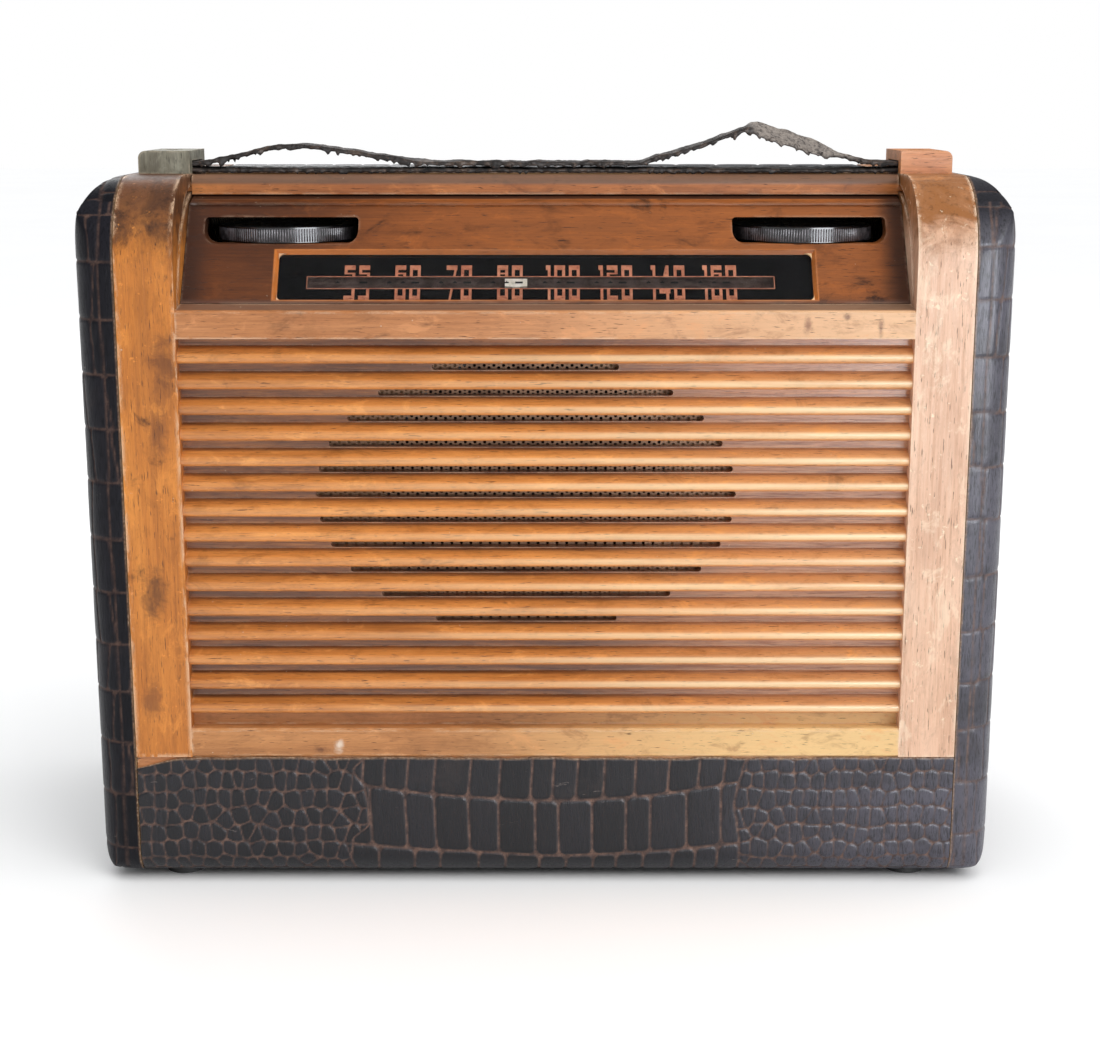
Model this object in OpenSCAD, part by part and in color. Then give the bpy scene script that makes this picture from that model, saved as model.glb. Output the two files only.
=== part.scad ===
// Roll-top portable radio: a covered wooden case whose two wooden stiles rise up the front
// and curve back over the top. Between them are a louvred speaker front, a sloping dial
// panel with two thumbwheels, and a tambour that slides in curved grooves to cover the dial.
// The front faces -Y, +Z is up, and the origin is on the floor below the middle of the case.
// Depths (names ending in _d) are measured back from the stiles' front faces.

/* [Case] */
// Overall width over the covering
case_w = 364; // [356:2:380]
// Overall depth, front of the stiles to the rear rim of the ends
case_d = 156; // [156:1:170]
// Height of the top above the floor
case_top = 284.5; // [284:0.5:288]
// Height of the feet
foot_h = 2.5; // [2:0.5:4]
// Thickness of the embossed covering
hide_t = 1.2; // [0.8:0.1:1.6]
// Radius of the curve where the stiles turn back over the top
brow_r = 32; // [28:1:34]
// Radius of the upright front edges of the ends
edge_r = 14; // [10:1:15]
// Width of the rounded shoulder at the top of each end
shoulder_w = 16.5; // [12:0.5:16.5]
// Height of that shoulder
shoulder_h = 29; // [18:1:32]
// Radius of the bottom front edge
toe_r = 12; // [8:1:13]

/* [Wooden front] */
// Distance from the middle to the inner face of a stile
open_x = 142.4; // [140:0.2:144]
// Distance from the middle to the outer face of a stile
stile_x = 165; // [163:0.5:166]
// Height of the lower ends of the stiles
apron_top = 54.3; // [52:0.1:56]
// Height of the top edge of the bottom rail
rail_top = 66.1; // [64:0.1:68]
// Height of the top of the louvres
grille_top = 223.5; // [222:0.1:224]
// Number of louvres
slats = 15; // [15:1:15]
// Half length of the longest speaker slot
slot_half = 83; // [70:1:90]
// Height of a speaker slot
slot_h = 2.4; // [1.5:0.1:2.8]
// Sideways offset of the speaker from the middle
spk_x = -7.7; // [-12:0.1:0]
// Height of the speaker's axis
spk_z = 161.2; // [160:0.1:163]

/* [Dial and wheels] */
// Lean of the dial panel back from upright, in degrees
lean = 37.1; // [36:0.1:38]
// Thickness of the dial panel
panel_t = 6; // [5:0.5:6.5]
// Half width of the dial window
window_half = 105; // [98:1:108]
// Height of the dial window, up the slope
window_h = 21.5; // [18:0.5:21.5]
// Distance of the thumbwheels from the middle
wheel_x = 104.7; // [100:0.1:106]
// Radius of the thumbwheels
wheel_r = 28; // [26:0.5:28.5]
// Thickness of the thumbwheels
wheel_t = 5.9; // [5:0.1:7]
// Sideways position of the dial pointer at rest
pointer_x = -11.5; // [-20:0.5:0]

/* [Tambour] */
// Outer radius of the slats' path
path_r = 52; // [51.6:0.1:52.2]
// Thickness of the slats
tambour_t = 6; // [5.5:0.1:6]
// Number of slats behind the leading bead
tambour_slats_n = 13; // [12:1:13]
// Angle of the leading bead above the path's centre, open
bead_angle = 82; // [81:0.5:83]

/* [Handle] */
// Height of the handle blocks
block_h = 9; // [8:0.5:10]
// Length of the handle blocks, front to back
block_len = 35; // [32:1:38]
// Width of the strap
strap_w = 23; // [20:0.5:23]
// Thickness of one strap layer
strap_t = 2.2; // [1.8:0.1:2.2]

/* [Hidden] */

$fn = 64;
eps = 0.5;                                   // overrun of every cutting tool
slip = 0.3;                                  // gap between pieces that slide past each other
snug = 0.05;                                 // radial play of a running fit

// Case
front_y = -case_d / 2;
rear_y = case_d / 2;
end_x = stile_x + 0.3;                       // inner face of an end panel
board_t = 8.5;                               // thickness of the base board
base_top = foot_h + hide_t + board_t;
apron_d = 14;                                // depth of the apron board's back face
top_d = 79;                                  // the fixed top starts where the tambour dips
rear_inset = 1.5;                            // the door's outer face sits this far inside the rim
heel_r = 6;                                  // small radius of the rear edges
cleat_t = 12.8;
chassis_z = 190;                             // top face of the chassis
sheet_t = 1.2;                               // chassis and bracket steel

// Stiles
upright_d = 22;
head_d = 115;                                // the cheek that carries the tambour groove
head_bottom = 212;
rail_t = 5.5;                                // thickness of the rear stretch of the top rail
groove_deep = 5;

// Louvres
pitch = (grille_top - rail_top - 5.6) / slats;
recess_h = 3.2;                              // height of the flat at the top of each louvre
recess_d = 7;
slat_back_d = 12.2;
nose_r = 2.3;
nose = [3.6, -7.6];                          // centre of the rounded nose: depth, height
slat_gap = 0.22;
fan_h = 56.3;                                // half height of the ellipse that the slots fill

// Dial panel: panel_d and panel_z are the bottom edge of its face
panel_d = 12;
panel_z = 236;
panel_len = 46.4;
ledge_z = 234.2;
window_s = 1.6;                              // window's lower edge, up the slope
glass_front = 1.2;                           // depths of the glass's faces in the panel
glass_back = 3.2;
pan_back = 10;                               // depth of the dial pan's back face
slot_low = 257.8;                            // wheel slots: lower and upper edges
slot_high = 267.8;
slot_half_w = 30.5;

// Wheels, shafts and cords
wheel_d = 56;                                // depth of both wheels' axes
wheel_z = 258.2;
shaft_r = 3;
shaft_foot = 184;
cord_r = 0.4;
cord_z = 238;                                // pointer cord's height
drive_z = 229.5;                             // capacitor cord's height
pulley_r = 16;                               // pitch radii
idler_r = 5;
drive_r = 8;
drum_r = 24;
idler = [-98, 45];                           // X and depth
cap_x = 62;
cap_d = 74;
plates = 5;                                  // the gang's fixed plates
plate_step = 4;
first_plate = chassis_z + 5;
marker = [8.8, 1, 3.4];                      // pointer's visible block
marker_s = 11.4;                             // its height up the slope
sweep = [-66, 85];                           // pointer's travel from rest

// Tambour path: the centre lies below and behind the brow
track_d = 55.8;
track_y = front_y + track_d;
track_z = case_top - 52.9;
tambour_in = path_r - tambour_t;
slat_w = 6.3;
slat_step = 8.1;
first_slat = bead_angle + 8.45;
bead_w = 6.9;
bead_out = path_r + 1;
body_x = open_x - 0.4;                       // half length of the slats between the cheeks
tongue = [46.6, 49.4];                       // inner and outer radius of the end tongues
canvas_t = 0.7;

// Handle
block_d = 45;
block_x = 163;
strap_d = block_d + block_len / 2;           // middle of the strap, front to back
strap_end = 156;
anchor_x = 151.5;
screw_r = 1.8;
strap_z = case_top + 0.2;
ply_gap = 0.2;
wave = [[-strap_end, 0], [-141, 0], [-128, 2.4], [-112, 6.2], [-100, 7.2], [-86, 5.8],
    [-64, 2.2], [-43, 0.2], [38.7, 0.2], [60, 6.4], [80, 13.4], [84.5, 14.2], [89, 13.2],
    [110, 6.6], [128.6, 1], [142, 0], [strap_end, 0]];   // upper layer: X, rise of its middle

// Back door and its hardware
door_in_d = case_d - rear_inset - hide_t - 5.6;
door_board_t = 5.6;
door_half = stile_x - 0.4;
door_low = 19.2;
door_high = 278.4;
pin_d = 152;
pin_z = 16.2;
knuckle_r = 2.4;
pin_r = 1.2;
hinge_x = 100;
hinge_half = 20;
snap_x = 110;
snap_z = 268;
gland = [140, 44];                           // X and height of the cord grommet
gland_r = 3.5;

// Colours
orange_wood = "#b5763a";
dark_wood = "#5d3a22";
pale_wood = "#c99a5b";
hide = "#26262b";
steel = "#9a9c9c";
black = "#151515";
brass = "#b08d4a";

// ---- helpers ----

// Extrudes a (depth+front, height) outline along X
module side_slab(x0, x1) {
    translate([x0, 0, 0]) rotate([90, 0, 90]) linear_extrude(x1 - x0) children();
}
// Extrudes an (X, height) outline between two depths
module front_slab(d0, d1) {
    translate([0, front_y + d1, 0]) rotate([90, 0, 0]) linear_extrude(d1 - d0) children();
}
// Extrudes an (X, depth) outline between two heights
module plan_slab(z0, z1) {
    translate([0, front_y, z0]) linear_extrude(z1 - z0) children();
}
// A block given by its X, depth and height limits
module block(x, d, z) {
    translate([x[0], front_y + d[0], z[0]]) cube([x[1] - x[0], d[1] - d[0], z[1] - z[0]]);
}
// An upright post or shaft at (x, depth)
module post(x, d, r, z0, z1) {
    translate([x, front_y + d, z0]) cylinder(r = r, h = z1 - z0);
}
// A rod along the depth at (x, height)
module spigot(x, z, r, d0, d1) {
    translate([x, front_y + d0, z]) rotate([-90, 0, 0]) cylinder(r = r, h = d1 - d0);
}
// The scrap outside a round corner; the material lies towards (sx, sy)
module corner_scrap(x, y, sx, sy, r) {
    translate([x, y]) mirror([sx < 0 ? 1 : 0, 0]) mirror([0, sy < 0 ? 1 : 0]) difference() {
        translate([-eps, -eps]) square(r + eps);
        translate([r, r]) circle(r);
    }
}
// The scrap outside the long oval shoulder of an end
module shoulder_scrap(x, top, w, h) {
    difference() {
        translate([x - w, top - h]) square([w + eps, h + eps]);
        translate([x - w, top - h]) scale([1, h / w]) circle(w);
    }
}
// Stands its children on the dial panel: Z up the slope, Y into the panel
module on_panel() {
    translate([0, front_y + panel_d, panel_z]) rotate([-lean, 0, 0]) children();
}
// Places an outline on the tambour's path: x outwards, y towards the rear
module at_track(angle) {
    translate([track_y, track_z]) rotate(180 - angle) children();
}
module both_sides() {
    children();
    mirror([1, 0, 0]) children();
}
function polar(r, a) = [r * cos(a), r * sin(a)];
// Where a line from p touches the upper side of a circle
function touch(p, c, r) = let (v = c - p, l = norm(v), a = atan2(v[1], v[0]) - asin(r / l))
    p + sqrt(l * l - r * r) * [cos(a), sin(a)];
function slat_z(k) = grille_top - (k - 1) * pitch;
function slot_len(k) = let (dz = slat_z(k) - recess_h / 2 - spk_z)
    slot_half * sqrt(1 - pow(dz / fan_h, 2));

// ---- case ----

// Outline of an end in (y, z); inset is the covering's thickness for the bare board
module end_side(inset) {
    y0 = front_y + inset;
    y1 = rear_y - inset;
    z0 = foot_h + inset;
    z1 = case_top - inset;
    difference() {
        translate([y0, z0]) square([y1 - y0, z1 - z0]);
        corner_scrap(y0, z1, 1, -1, brow_r - inset);
        corner_scrap(y0, z0, 1, 1, toe_r - inset);
        corner_scrap(y1, z1, -1, -1, heel_r - inset);
        corner_scrap(y1, z0, -1, 1, heel_r - inset);
    }
}
module end_blank(inset) {
    x1 = case_w / 2 - inset;
    intersection() {
        side_slab(end_x, x1) end_side(inset);
        plan_slab(0, case_top + eps) difference() {
            translate([end_x, inset]) square([x1 - end_x, case_d - 2 * inset]);
            corner_scrap(x1, inset, -1, 1, edge_r - inset);
            corner_scrap(x1, case_d - inset, -1, -1, heel_r - inset);
        }
        front_slab(0, case_d) difference() {
            translate([end_x, 0]) square([x1 - end_x, case_top]);
            shoulder_scrap(x1, case_top - inset, shoulder_w - inset, shoulder_h - inset);
            corner_scrap(x1, foot_h + inset, -1, 1, edge_r - inset);
        }
    }
}
// The bare end with the cleat that the chassis stands on
module end_panel() {
    color(pale_wood) union() {
        end_blank(hide_t);
        block([end_x - cleat_t, end_x + 1], [60, 146], [176, chassis_z - sheet_t]);
    }
}
module left_end_panel() { mirror([1, 0, 0]) end_panel(); }
module right_end_panel() { end_panel(); }

module end_cover() {
    color(hide) difference() {
        end_blank(0);
        end_blank(hide_t);
    }
}
module leatherette_left() { mirror([1, 0, 0]) end_cover(); }
module leatherette_right() { end_cover(); }

// Section of the apron and base; inset gives the bare boards
module tray_side(inset) {
    y0 = front_y + inset;
    z0 = foot_h + inset;
    difference() {
        union() {
            translate([y0, z0]) square([apron_d - inset, apron_top - z0]);
            translate([y0, z0]) square([case_d - 2 * inset, base_top - z0]);
        }
        corner_scrap(y0, z0, 1, 1, toe_r - inset);
    }
}
module front_apron_board() {
    color(pale_wood) side_slab(-stile_x, stile_x) intersection() {
        tray_side(hide_t);
        translate([front_y, 0]) square([apron_d, apron_top]);
    }
}
module base_board() {
    color(pale_wood) side_slab(-stile_x, stile_x) difference() {
        tray_side(hide_t);
        translate([front_y - eps, 0]) square([apron_d + eps, apron_top + eps]);
    }
}
module leatherette_apron() {
    color(hide) side_slab(-stile_x, stile_x) difference() {
        tray_side(0);
        tray_side(hide_t);
    }
}
module rear_top_board() {
    color(pale_wood) block([-open_x + 0.2, open_x - 0.2], [top_d, case_d],
        [case_top - rail_t, case_top - hide_t]);
}
module leatherette_top() {
    color(hide) block([-open_x + 0.2, open_x - 0.2], [top_d, case_d],
        [case_top - hide_t, case_top]);
}
module feet() {
    color(black) both_sides() for (d = [18, 138]) post(150, d, 8, 0, foot_h);
}

// ---- wooden front ----

module stile_side() {
    difference() {
        union() {
            translate([front_y, apron_top]) square([upright_d, case_top - apron_top]);
            translate([front_y, head_bottom]) square([head_d, case_top - head_bottom]);
            translate([front_y, case_top - rail_t]) square([case_d, rail_t]);
        }
        corner_scrap(front_y, case_top, 1, -1, brow_r);
    }
}
// Curved groove for the tambour's tongues, from the ledge over to the back of the cheek
module track_groove() {
    side_slab(open_x - eps, open_x + groove_deep) intersection() {
        translate([track_y, track_z]) difference() {
            circle(tongue[1] + slip);
            circle(tongue[0] - slip);
        }
        union() {
            translate([front_y, ledge_z - 1]) square([track_d, path_r]);
            translate([track_y - eps, head_bottom - eps]) square([path_r + eps, 2 * path_r]);
        }
    }
}
module stile() {
    color(orange_wood) difference() {
        side_slab(open_x, stile_x) stile_side();
        track_groove();
        post(anchor_x, strap_d, screw_r, case_top - 17, case_top + eps);
    }
}
module left_stile() { mirror([1, 0, 0]) stile(); }
module right_stile() { stile(); }

module cross_rail() {
    d = panel_d - 0.1;
    color("#c28a55") side_slab(-open_x, open_x) translate([front_y, 0])
        polygon([[0, grille_top], [0, ledge_z - 0.6], [0.6, ledge_z], [d, panel_z - 0.2],
            [d, grille_top]]);
}
// The bottom rail has a recessed step behind the lowest louvre's nose
module bottom_rail() {
    step_z = slat_z(slats + 1) - slat_gap / 2;
    color(orange_wood) side_slab(-open_x, open_x) translate([front_y, 0])
        polygon([[0.8, apron_top], [0, apron_top + 0.8], [0, rail_top - 0.8],
            [0.8, rail_top], [recess_d, rail_top], [recess_d, step_z],
            [slat_back_d, step_z], [slat_back_d, apron_top]]);
}
// One louvre: a recessed flat, a ramp and a rounded nose that shades the next flat
module slat_body(k) {
    tip = touch([recess_d, -recess_h], nose, nose_r);
    foot = nose[1] - nose_r;
    side_slab(-open_x, open_x) translate([front_y, slat_z(k)]) union() {
        polygon([[slat_back_d, 0], [recess_d, 0], [recess_d, -recess_h], tip, nose,
            [nose[0], foot], [slat_back_d, foot]]);
        translate(nose) circle(nose_r);
    }
}
module speaker_slot(k) {
    half = slot_len(k) - slot_h / 2;
    z = slat_z(k) - recess_h / 2;
    front_slab(recess_d - eps, slat_back_d + eps) translate([spk_x, z]) union() {
        translate([-half, -slot_h / 2]) square([2 * half, slot_h]);
        for (s = [-1, 1]) translate([s * half, 0]) circle(slot_h / 2);
    }
}
module grille_slat(k) {
    color(orange_wood) difference() {
        slat_body(k);
        speaker_slot(k);
    }
}
module grille_slats_plain() {
    color(orange_wood) for (k = [1, slats - 2, slats - 1, slats]) slat_body(k);
}
module perforated_screen() {
    color("#7a5a40") block([spk_x - 92, spk_x + 92], [slat_back_d + 0.1, slat_back_d + 0.9],
        [spk_z - 62, spk_z + 60]);
}
module speaker_baffle() {
    color(pale_wood) front_slab(13.4, 18.4) difference() {
        translate([-open_x, 60]) square([2 * open_x, 162]);
        translate([spk_x, spk_z]) circle(57);
    }
}

// ---- loudspeaker ----

module on_speaker() {
    translate([spk_x, front_y + 18.5, spk_z]) rotate([-90, 0, 0]) children();
}
module speaker_frame() {
    color(steel) on_speaker() union() {
        difference() {
            rotate_extrude() polygon([[55, 0], [63.5, 0], [63.5, 1.4], [57, 1.4], [24, 27],
                [24, 28.4], [0, 28.4], [0, 26.8], [22.6, 26.8], [55, 1.4]]);
            for (a = [45 : 90 : 315]) rotate(a) translate([28, -11, 4]) cube([24, 22, 30]);
        }
        translate([0, 0, 28.4]) cylinder(r = 22, h = 15);
    }
}
module speaker_cone() {
    color("#3b3833") on_speaker() rotate_extrude() polygon([[54, 0.2], [54.8, 0.2], [52, 3],
        [13, 20], [0, 21], [0, 20.3], [12.4, 19.3], [51.4, 2.4]]);
}
module output_transformer() {
    color(steel) union() {
        block([-66, -34], [78, 100], [chassis_z, chassis_z + 24]);
        translate([-50, front_y + 74, chassis_z + 12]) rotate([-90, 0, 0])
            cylinder(r = 9.5, h = 30);
    }
}

// ---- dial ----

module wheel_slot() {
    front_slab(10, 60) translate([wheel_x, 0]) difference() {
        translate([-slot_half_w, slot_low]) square([2 * slot_half_w, slot_high - slot_low]);
        for (s = [-1, 1]) {
            corner_scrap(s * slot_half_w, slot_low, -s, 1, 5);
            corner_scrap(s * slot_half_w, slot_high, -s, -1, 1.5);
        }
    }
}
// The window's opening through the panel, bevelled along its top and sides
module window_cut() {
    w = window_half;
    top = window_s + window_h;
    bevel = 1.4;
    back = panel_t + eps;
    intersection() {
        translate([0, 0, window_s]) linear_extrude(window_h + bevel + eps) polygon([
            [-w - bevel - eps, -eps],
            [w + bevel + eps, -eps],
            [w, bevel],
            [w, back],
            [-w, back],
            [-w, bevel]
        ]);
        side_slab(-w - 5, w + 5) polygon([
            [-eps, window_s],
            [back, window_s],
            [back, top],
            [bevel, top],
            [-eps, top + bevel + eps]
        ]);
    }
}
module dial_panel() {
    color(orange_wood) difference() {
        on_panel() translate([-open_x + 0.2, 0, 0])
            cube([2 * open_x - 0.4, panel_t, panel_len]);
        on_panel() window_cut();
        both_sides() wheel_slot();
    }
}
module dial_glass() {
    color("#2b1c18", 0.6) on_panel() translate([-window_half + 0.1, glass_front, window_s + 0.1])
        cube([2 * window_half - 0.2, glass_back - glass_front, window_h - 0.2]);
}
// Shallow tray behind the panel; the pointer's arm passes through its long slot
module dial_pan() {
    half = window_half + 6;
    color(black) union() {
        difference() {
            on_panel() translate([-half, panel_t, -0.6]) cube([2 * half, pan_back - panel_t, 25]);
            on_panel() translate([-half + 1, panel_t - eps, 0.4])
                cube([2 * half - 2, pan_back - panel_t - 1 + eps, 23]);
            block([pointer_x + sweep[0] - 3, pointer_x + sweep[1] + 3], [15, 40],
                [cord_z - 1.4, cord_z + 1.4]);
        }
        // bracket, stud and idler for the pointer's cord
        block([idler[0] - 7, idler[0] + 7], [24, idler[1] + 7], [cord_z - 4.6, cord_z - 3.4]);
        post(idler[0], idler[1], 2, cord_z - 4, cord_z + 2.4);
        for (z = [cord_z - 2.6, cord_z + 1]) post(idler[0], idler[1], idler_r + 1.4, z, z + 1.6);
        post(idler[0], idler[1], idler_r - cord_r, cord_z - 2, cord_z + 2);
    }
}
function arc(c, r, from, turn) = [for (k = [0:16]) c + polar(r, from + turn * k / 16)];
// Outline round two pulleys, joined by their outer tangents
module belt_outline(c1, r1, c2, r2) {
    v = c2 - c1;
    way = atan2(v[1], v[0]);
    reach = acos((r1 - r2) / norm(v));
    polygon(concat(
        arc(c1, r1, way + reach, 360 - 2 * reach),
        arc(c2, r2, way - reach, 2 * reach)
    ));
}
// Runs a flat-laid cord round two pulleys in a level plane
module cord_loop(c1, r1, c2, r2, z) {
    plan_slab(z - cord_r, z + cord_r) difference() {
        belt_outline(c1, r1 + cord_r, c2, r2 + cord_r);
        belt_outline(c1, r1 - cord_r, c2, r2 - cord_r);
    }
}
module dial_cord() {
    color("#c8b58c") union() {
        cord_loop(idler, idler_r, [wheel_x, wheel_d], pulley_r, cord_z);
        cord_loop([wheel_x, wheel_d], drive_r, [cap_x, cap_d], drum_r, drive_z);
    }
}
// Marker behind the glass, arm through the pan, and a carriage clipped round the cord
module dial_pointer() {
    cord_d = wheel_d - pulley_r;
    color("#ece6d8") translate([pointer_x, 0, 0]) difference() {
        union() {
            on_panel() translate([-marker[0] / 2, glass_back + slip, marker_s - marker[2] / 2])
                cube(marker);
            block([-1.5, 1.5], [21, cord_d + 2], [cord_z - 0.8, cord_z + 0.8]);
            on_panel() translate([-1.5, glass_back + slip, marker_s - 2.2]) cube([3, 5.1, 2]);
            block([-3, 3], [cord_d - 2, cord_d + 2], [cord_z - 2, cord_z + 2]);
        }
        translate([0, front_y + cord_d, cord_z]) rotate([0, 90, 0])
            cylinder(r = cord_r * sqrt(2) + snug, h = 10, center = true);
    }
}

// ---- chassis ----

module chassis_pan() {
    half = end_x - 4;
    low = chassis_z - 18;
    color(steel) difference() {
        union() {
            block([-half, half], [68, 140], [chassis_z - sheet_t, chassis_z]);
            both_sides() block([78, half - 12], [32, 68], [chassis_z - sheet_t, chassis_z]);
            block([-150, 150], [140 - sheet_t, 140], [low, chassis_z]);
            both_sides() block([78, 149], [32, 32 + sheet_t], [low, chassis_z]);
            block([-78, 78], [68, 68 + sheet_t], [low, chassis_z]);
            post(wheel_x, wheel_d, 5, chassis_z, chassis_z + 12);
        }
        both_sides() post(wheel_x, wheel_d, shaft_r + snug, low, chassis_z + 20);
        post(cap_x, cap_d, shaft_r + snug, low, chassis_z + eps);
    }
}
// One miniature tube in its wafer socket
module tube(x) {
    translate([x, front_y + 126, chassis_z]) union() {
        cylinder(r = 10.5, h = 6);
        translate([0, 0, 6]) cylinder(r = 9.3, h = 38);
        translate([0, 0, 44]) cylinder(r1 = 9.3, r2 = 2.5, h = 5);
        translate([0, 0, 49]) cylinder(r1 = 2.5, r2 = 0.8, h = 4);
    }
}
module vacuum_tubes() {
    color("#c9d6d8", 0.5) for (x = [-98, -42, -14, 42, 70]) tube(x);
}
module shield_cans() {
    color("#b9bdc0") union() {
        for (x = [-70, 14]) block([x - 10, x + 10], [116, 136], [chassis_z, chassis_z + 52]);
        post(-126, 125, 12.5, chassis_z, chassis_z + 48);
    }
}
module volume_control() {
    color(steel) translate([-wheel_x, front_y + wheel_d, chassis_z]) difference() {
        union() {
            cylinder(r = 12, h = 12);
            cylinder(r = 4.7, h = 22);
        }
        translate([0, 0, -eps]) cylinder(r = shaft_r + snug, h = 30);
    }
}
// Disc, hub and shaft shared by both thumbwheels
module wheel_on_shaft(x) {
    post(x, wheel_d, wheel_r, wheel_z, wheel_z + wheel_t);
    post(x, wheel_d, 7, wheel_z - 8, wheel_z + eps);
    post(x, wheel_d, shaft_r, shaft_foot, wheel_z);
}
// Two flanges and a waist that leaves the cord its own track
module pulley(x, d, r, z) {
    post(x, d, r - cord_r - slip, z - 2, z + 2);
    for (s = [-2, 1]) post(x, d, r + 1, z + s, z + s + 1);
}
module volume_wheel() {
    color(black) wheel_on_shaft(-wheel_x);
}
module tuning_wheel() {
    color(black) union() {
        wheel_on_shaft(wheel_x);
        pulley(wheel_x, wheel_d, pulley_r, cord_z);
        pulley(wheel_x, wheel_d, drive_r, drive_z);
    }
}
// Half disc with a hole for the shaft; turn sets which half
module half_plate(r_in, r_out, z, turn) {
    translate([cap_x, front_y + cap_d, z]) rotate(turn) linear_extrude(1) difference() {
        circle(r_out);
        circle(r_in);
        translate([-r_out - 1, -r_out - 1]) square([2 * r_out + 2, r_out + 1]);
    }
}
module capacitor_frame() {
    color(steel) difference() {
        union() {
            for (z = [chassis_z, chassis_z + 28])
                block([cap_x - 20, cap_x + 20], [cap_d - 17, cap_d + 17], [z, z + 1.5]);
            for (s = [-1, 1], t = [-1, 1])
                post(cap_x + s * 18, cap_d + t * 15, 1.5, chassis_z, chassis_z + 29);
            for (i = [0 : plates - 1])
                half_plate(5, 16.5, first_plate + i * plate_step, 0);
            for (s = [-1, 1]) block([cap_x + s * 12 - 1, cap_x + s * 12 + 1],
                [cap_d + 14.5, cap_d + 16], [chassis_z, chassis_z + 29]);
        }
        post(cap_x, cap_d, shaft_r + snug, chassis_z - eps, chassis_z + 40);
    }
}
module capacitor_rotor() {
    color("#c7c9cb") union() {
        post(cap_x, cap_d, shaft_r, chassis_z - 4, drive_z + 4);
        post(cap_x, cap_d, 4.5, first_plate + 1.4, first_plate + 16);
        for (i = [0 : plates - 2])
            half_plate(2, 14, first_plate + i * plate_step + 2, -60);
        pulley(cap_x, cap_d, drum_r, drive_z);
    }
}
module battery_pack() {
    color("#6b4a3a") plan_slab(base_top, base_top + 110) difference() {
        translate([-125, 74]) square([250, 57]);
        for (s = [-1, 1]) {
            corner_scrap(s * 125, 74, -s, 1, 3);
            corner_scrap(s * 125, 131, -s, -1, 3);
        }
    }
}

// ---- tambour ----

// A reed: square root on the canvas, half-round crown outside
module reed(r_in, r_out, w) {
    translate([r_in, -w / 2]) square([r_out - w / 2 - r_in, w]);
    intersection() {
        translate([r_out - w / 2, 0]) circle(w / 2);
        translate([r_in, -w]) square([r_out, 2 * w]);
    }
}
module tongues(angle) {
    both_sides() side_slab(body_x - 1, open_x + groove_deep - 0.4) at_track(angle)
        translate([tongue[0], -2.4]) square([tongue[1] - tongue[0], 4.8]);
}
module tambour_bead() {
    color(orange_wood) union() {
        side_slab(-body_x, body_x) at_track(bead_angle) reed(tambour_in - 0.4, bead_out, bead_w);
        tongues(bead_angle);
    }
}
module tambour_slats() {
    color(dark_wood) for (i = [0 : tambour_slats_n - 1]) union() {
        side_slab(-body_x, body_x) at_track(first_slat + i * slat_step)
            reed(tambour_in, path_r, slat_w);
        tongues(first_slat + i * slat_step);
    }
}
module tambour_canvas() {
    start = first_slat - slat_step / 2 + 0.4;
    end = first_slat + (tambour_slats_n - 0.5) * slat_step - 0.2;
    mid = (start + end) / 2;
    reach = 2 * path_r;
    color("#8d8468") side_slab(-body_x, body_x) translate([track_y, track_z])
        intersection() {
            difference() {
                circle(tambour_in);
                circle(tambour_in - canvas_t);
            }
            polygon([[0, 0], polar(reach, 180 - start), polar(reach, 180 - mid),
                polar(reach, 180 - end)]);
        }
}

// ---- handle ----

module handle_block() {
    top = case_top + block_h;
    notch = [strap_d - strap_w / 2 - 0.3, strap_d + strap_w / 2 + 0.3];
    difference() {
        front_slab(block_d, block_d + block_len) difference() {
            translate([open_x, case_top]) square([block_x - open_x, block_h]);
            corner_scrap(block_x, top, -1, -1, 3);
        }
        block([open_x - eps, strap_end + 0.6], notch, [case_top - eps,
            strap_z + 2 * strap_t + ply_gap + 0.2]);
        post(anchor_x, strap_d, screw_r, case_top, top + eps);
        post(anchor_x, strap_d, 2 * screw_r, top - 2, top + eps);
    }
}
module left_handle_block() { color("#8f8f78") mirror([1, 0, 0]) handle_block(); }
module right_handle_block() { color(orange_wood) handle_block(); }
module handle_screws() {
    top = case_top + block_h;
    color(brass) both_sides() difference() {
        union() {
            post(anchor_x, strap_d, screw_r, case_top - 16, top - 1);
            post(anchor_x, strap_d, 2 * screw_r - 0.1, top - 2, top - 0.3);
        }
        block([anchor_x - 4, anchor_x + 4], [strap_d - 0.4, strap_d + 0.4],
            [top - 1.1, top]);
    }
}
module strap_layer(z) {
    color("#2a1d18") difference() {
        translate([0, 0, z]) front_slab(strap_d - strap_w / 2, strap_d + strap_w / 2) children();
        both_sides() post(anchor_x, strap_d, screw_r, z - eps, z + strap_t + eps);
    }
}
module strap_lower_layer() {
    strap_layer(strap_z) translate([-strap_end, 0]) square([2 * strap_end, strap_t]);
}
module strap_upper_layer() {
    last = len(wave) - 1;
    strap_layer(strap_z + strap_t + ply_gap) polygon(concat(wave,
        [for (i = [last : -1 : 0]) wave[i] + [0, strap_t]]));
}

// ---- back door ----

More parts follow.
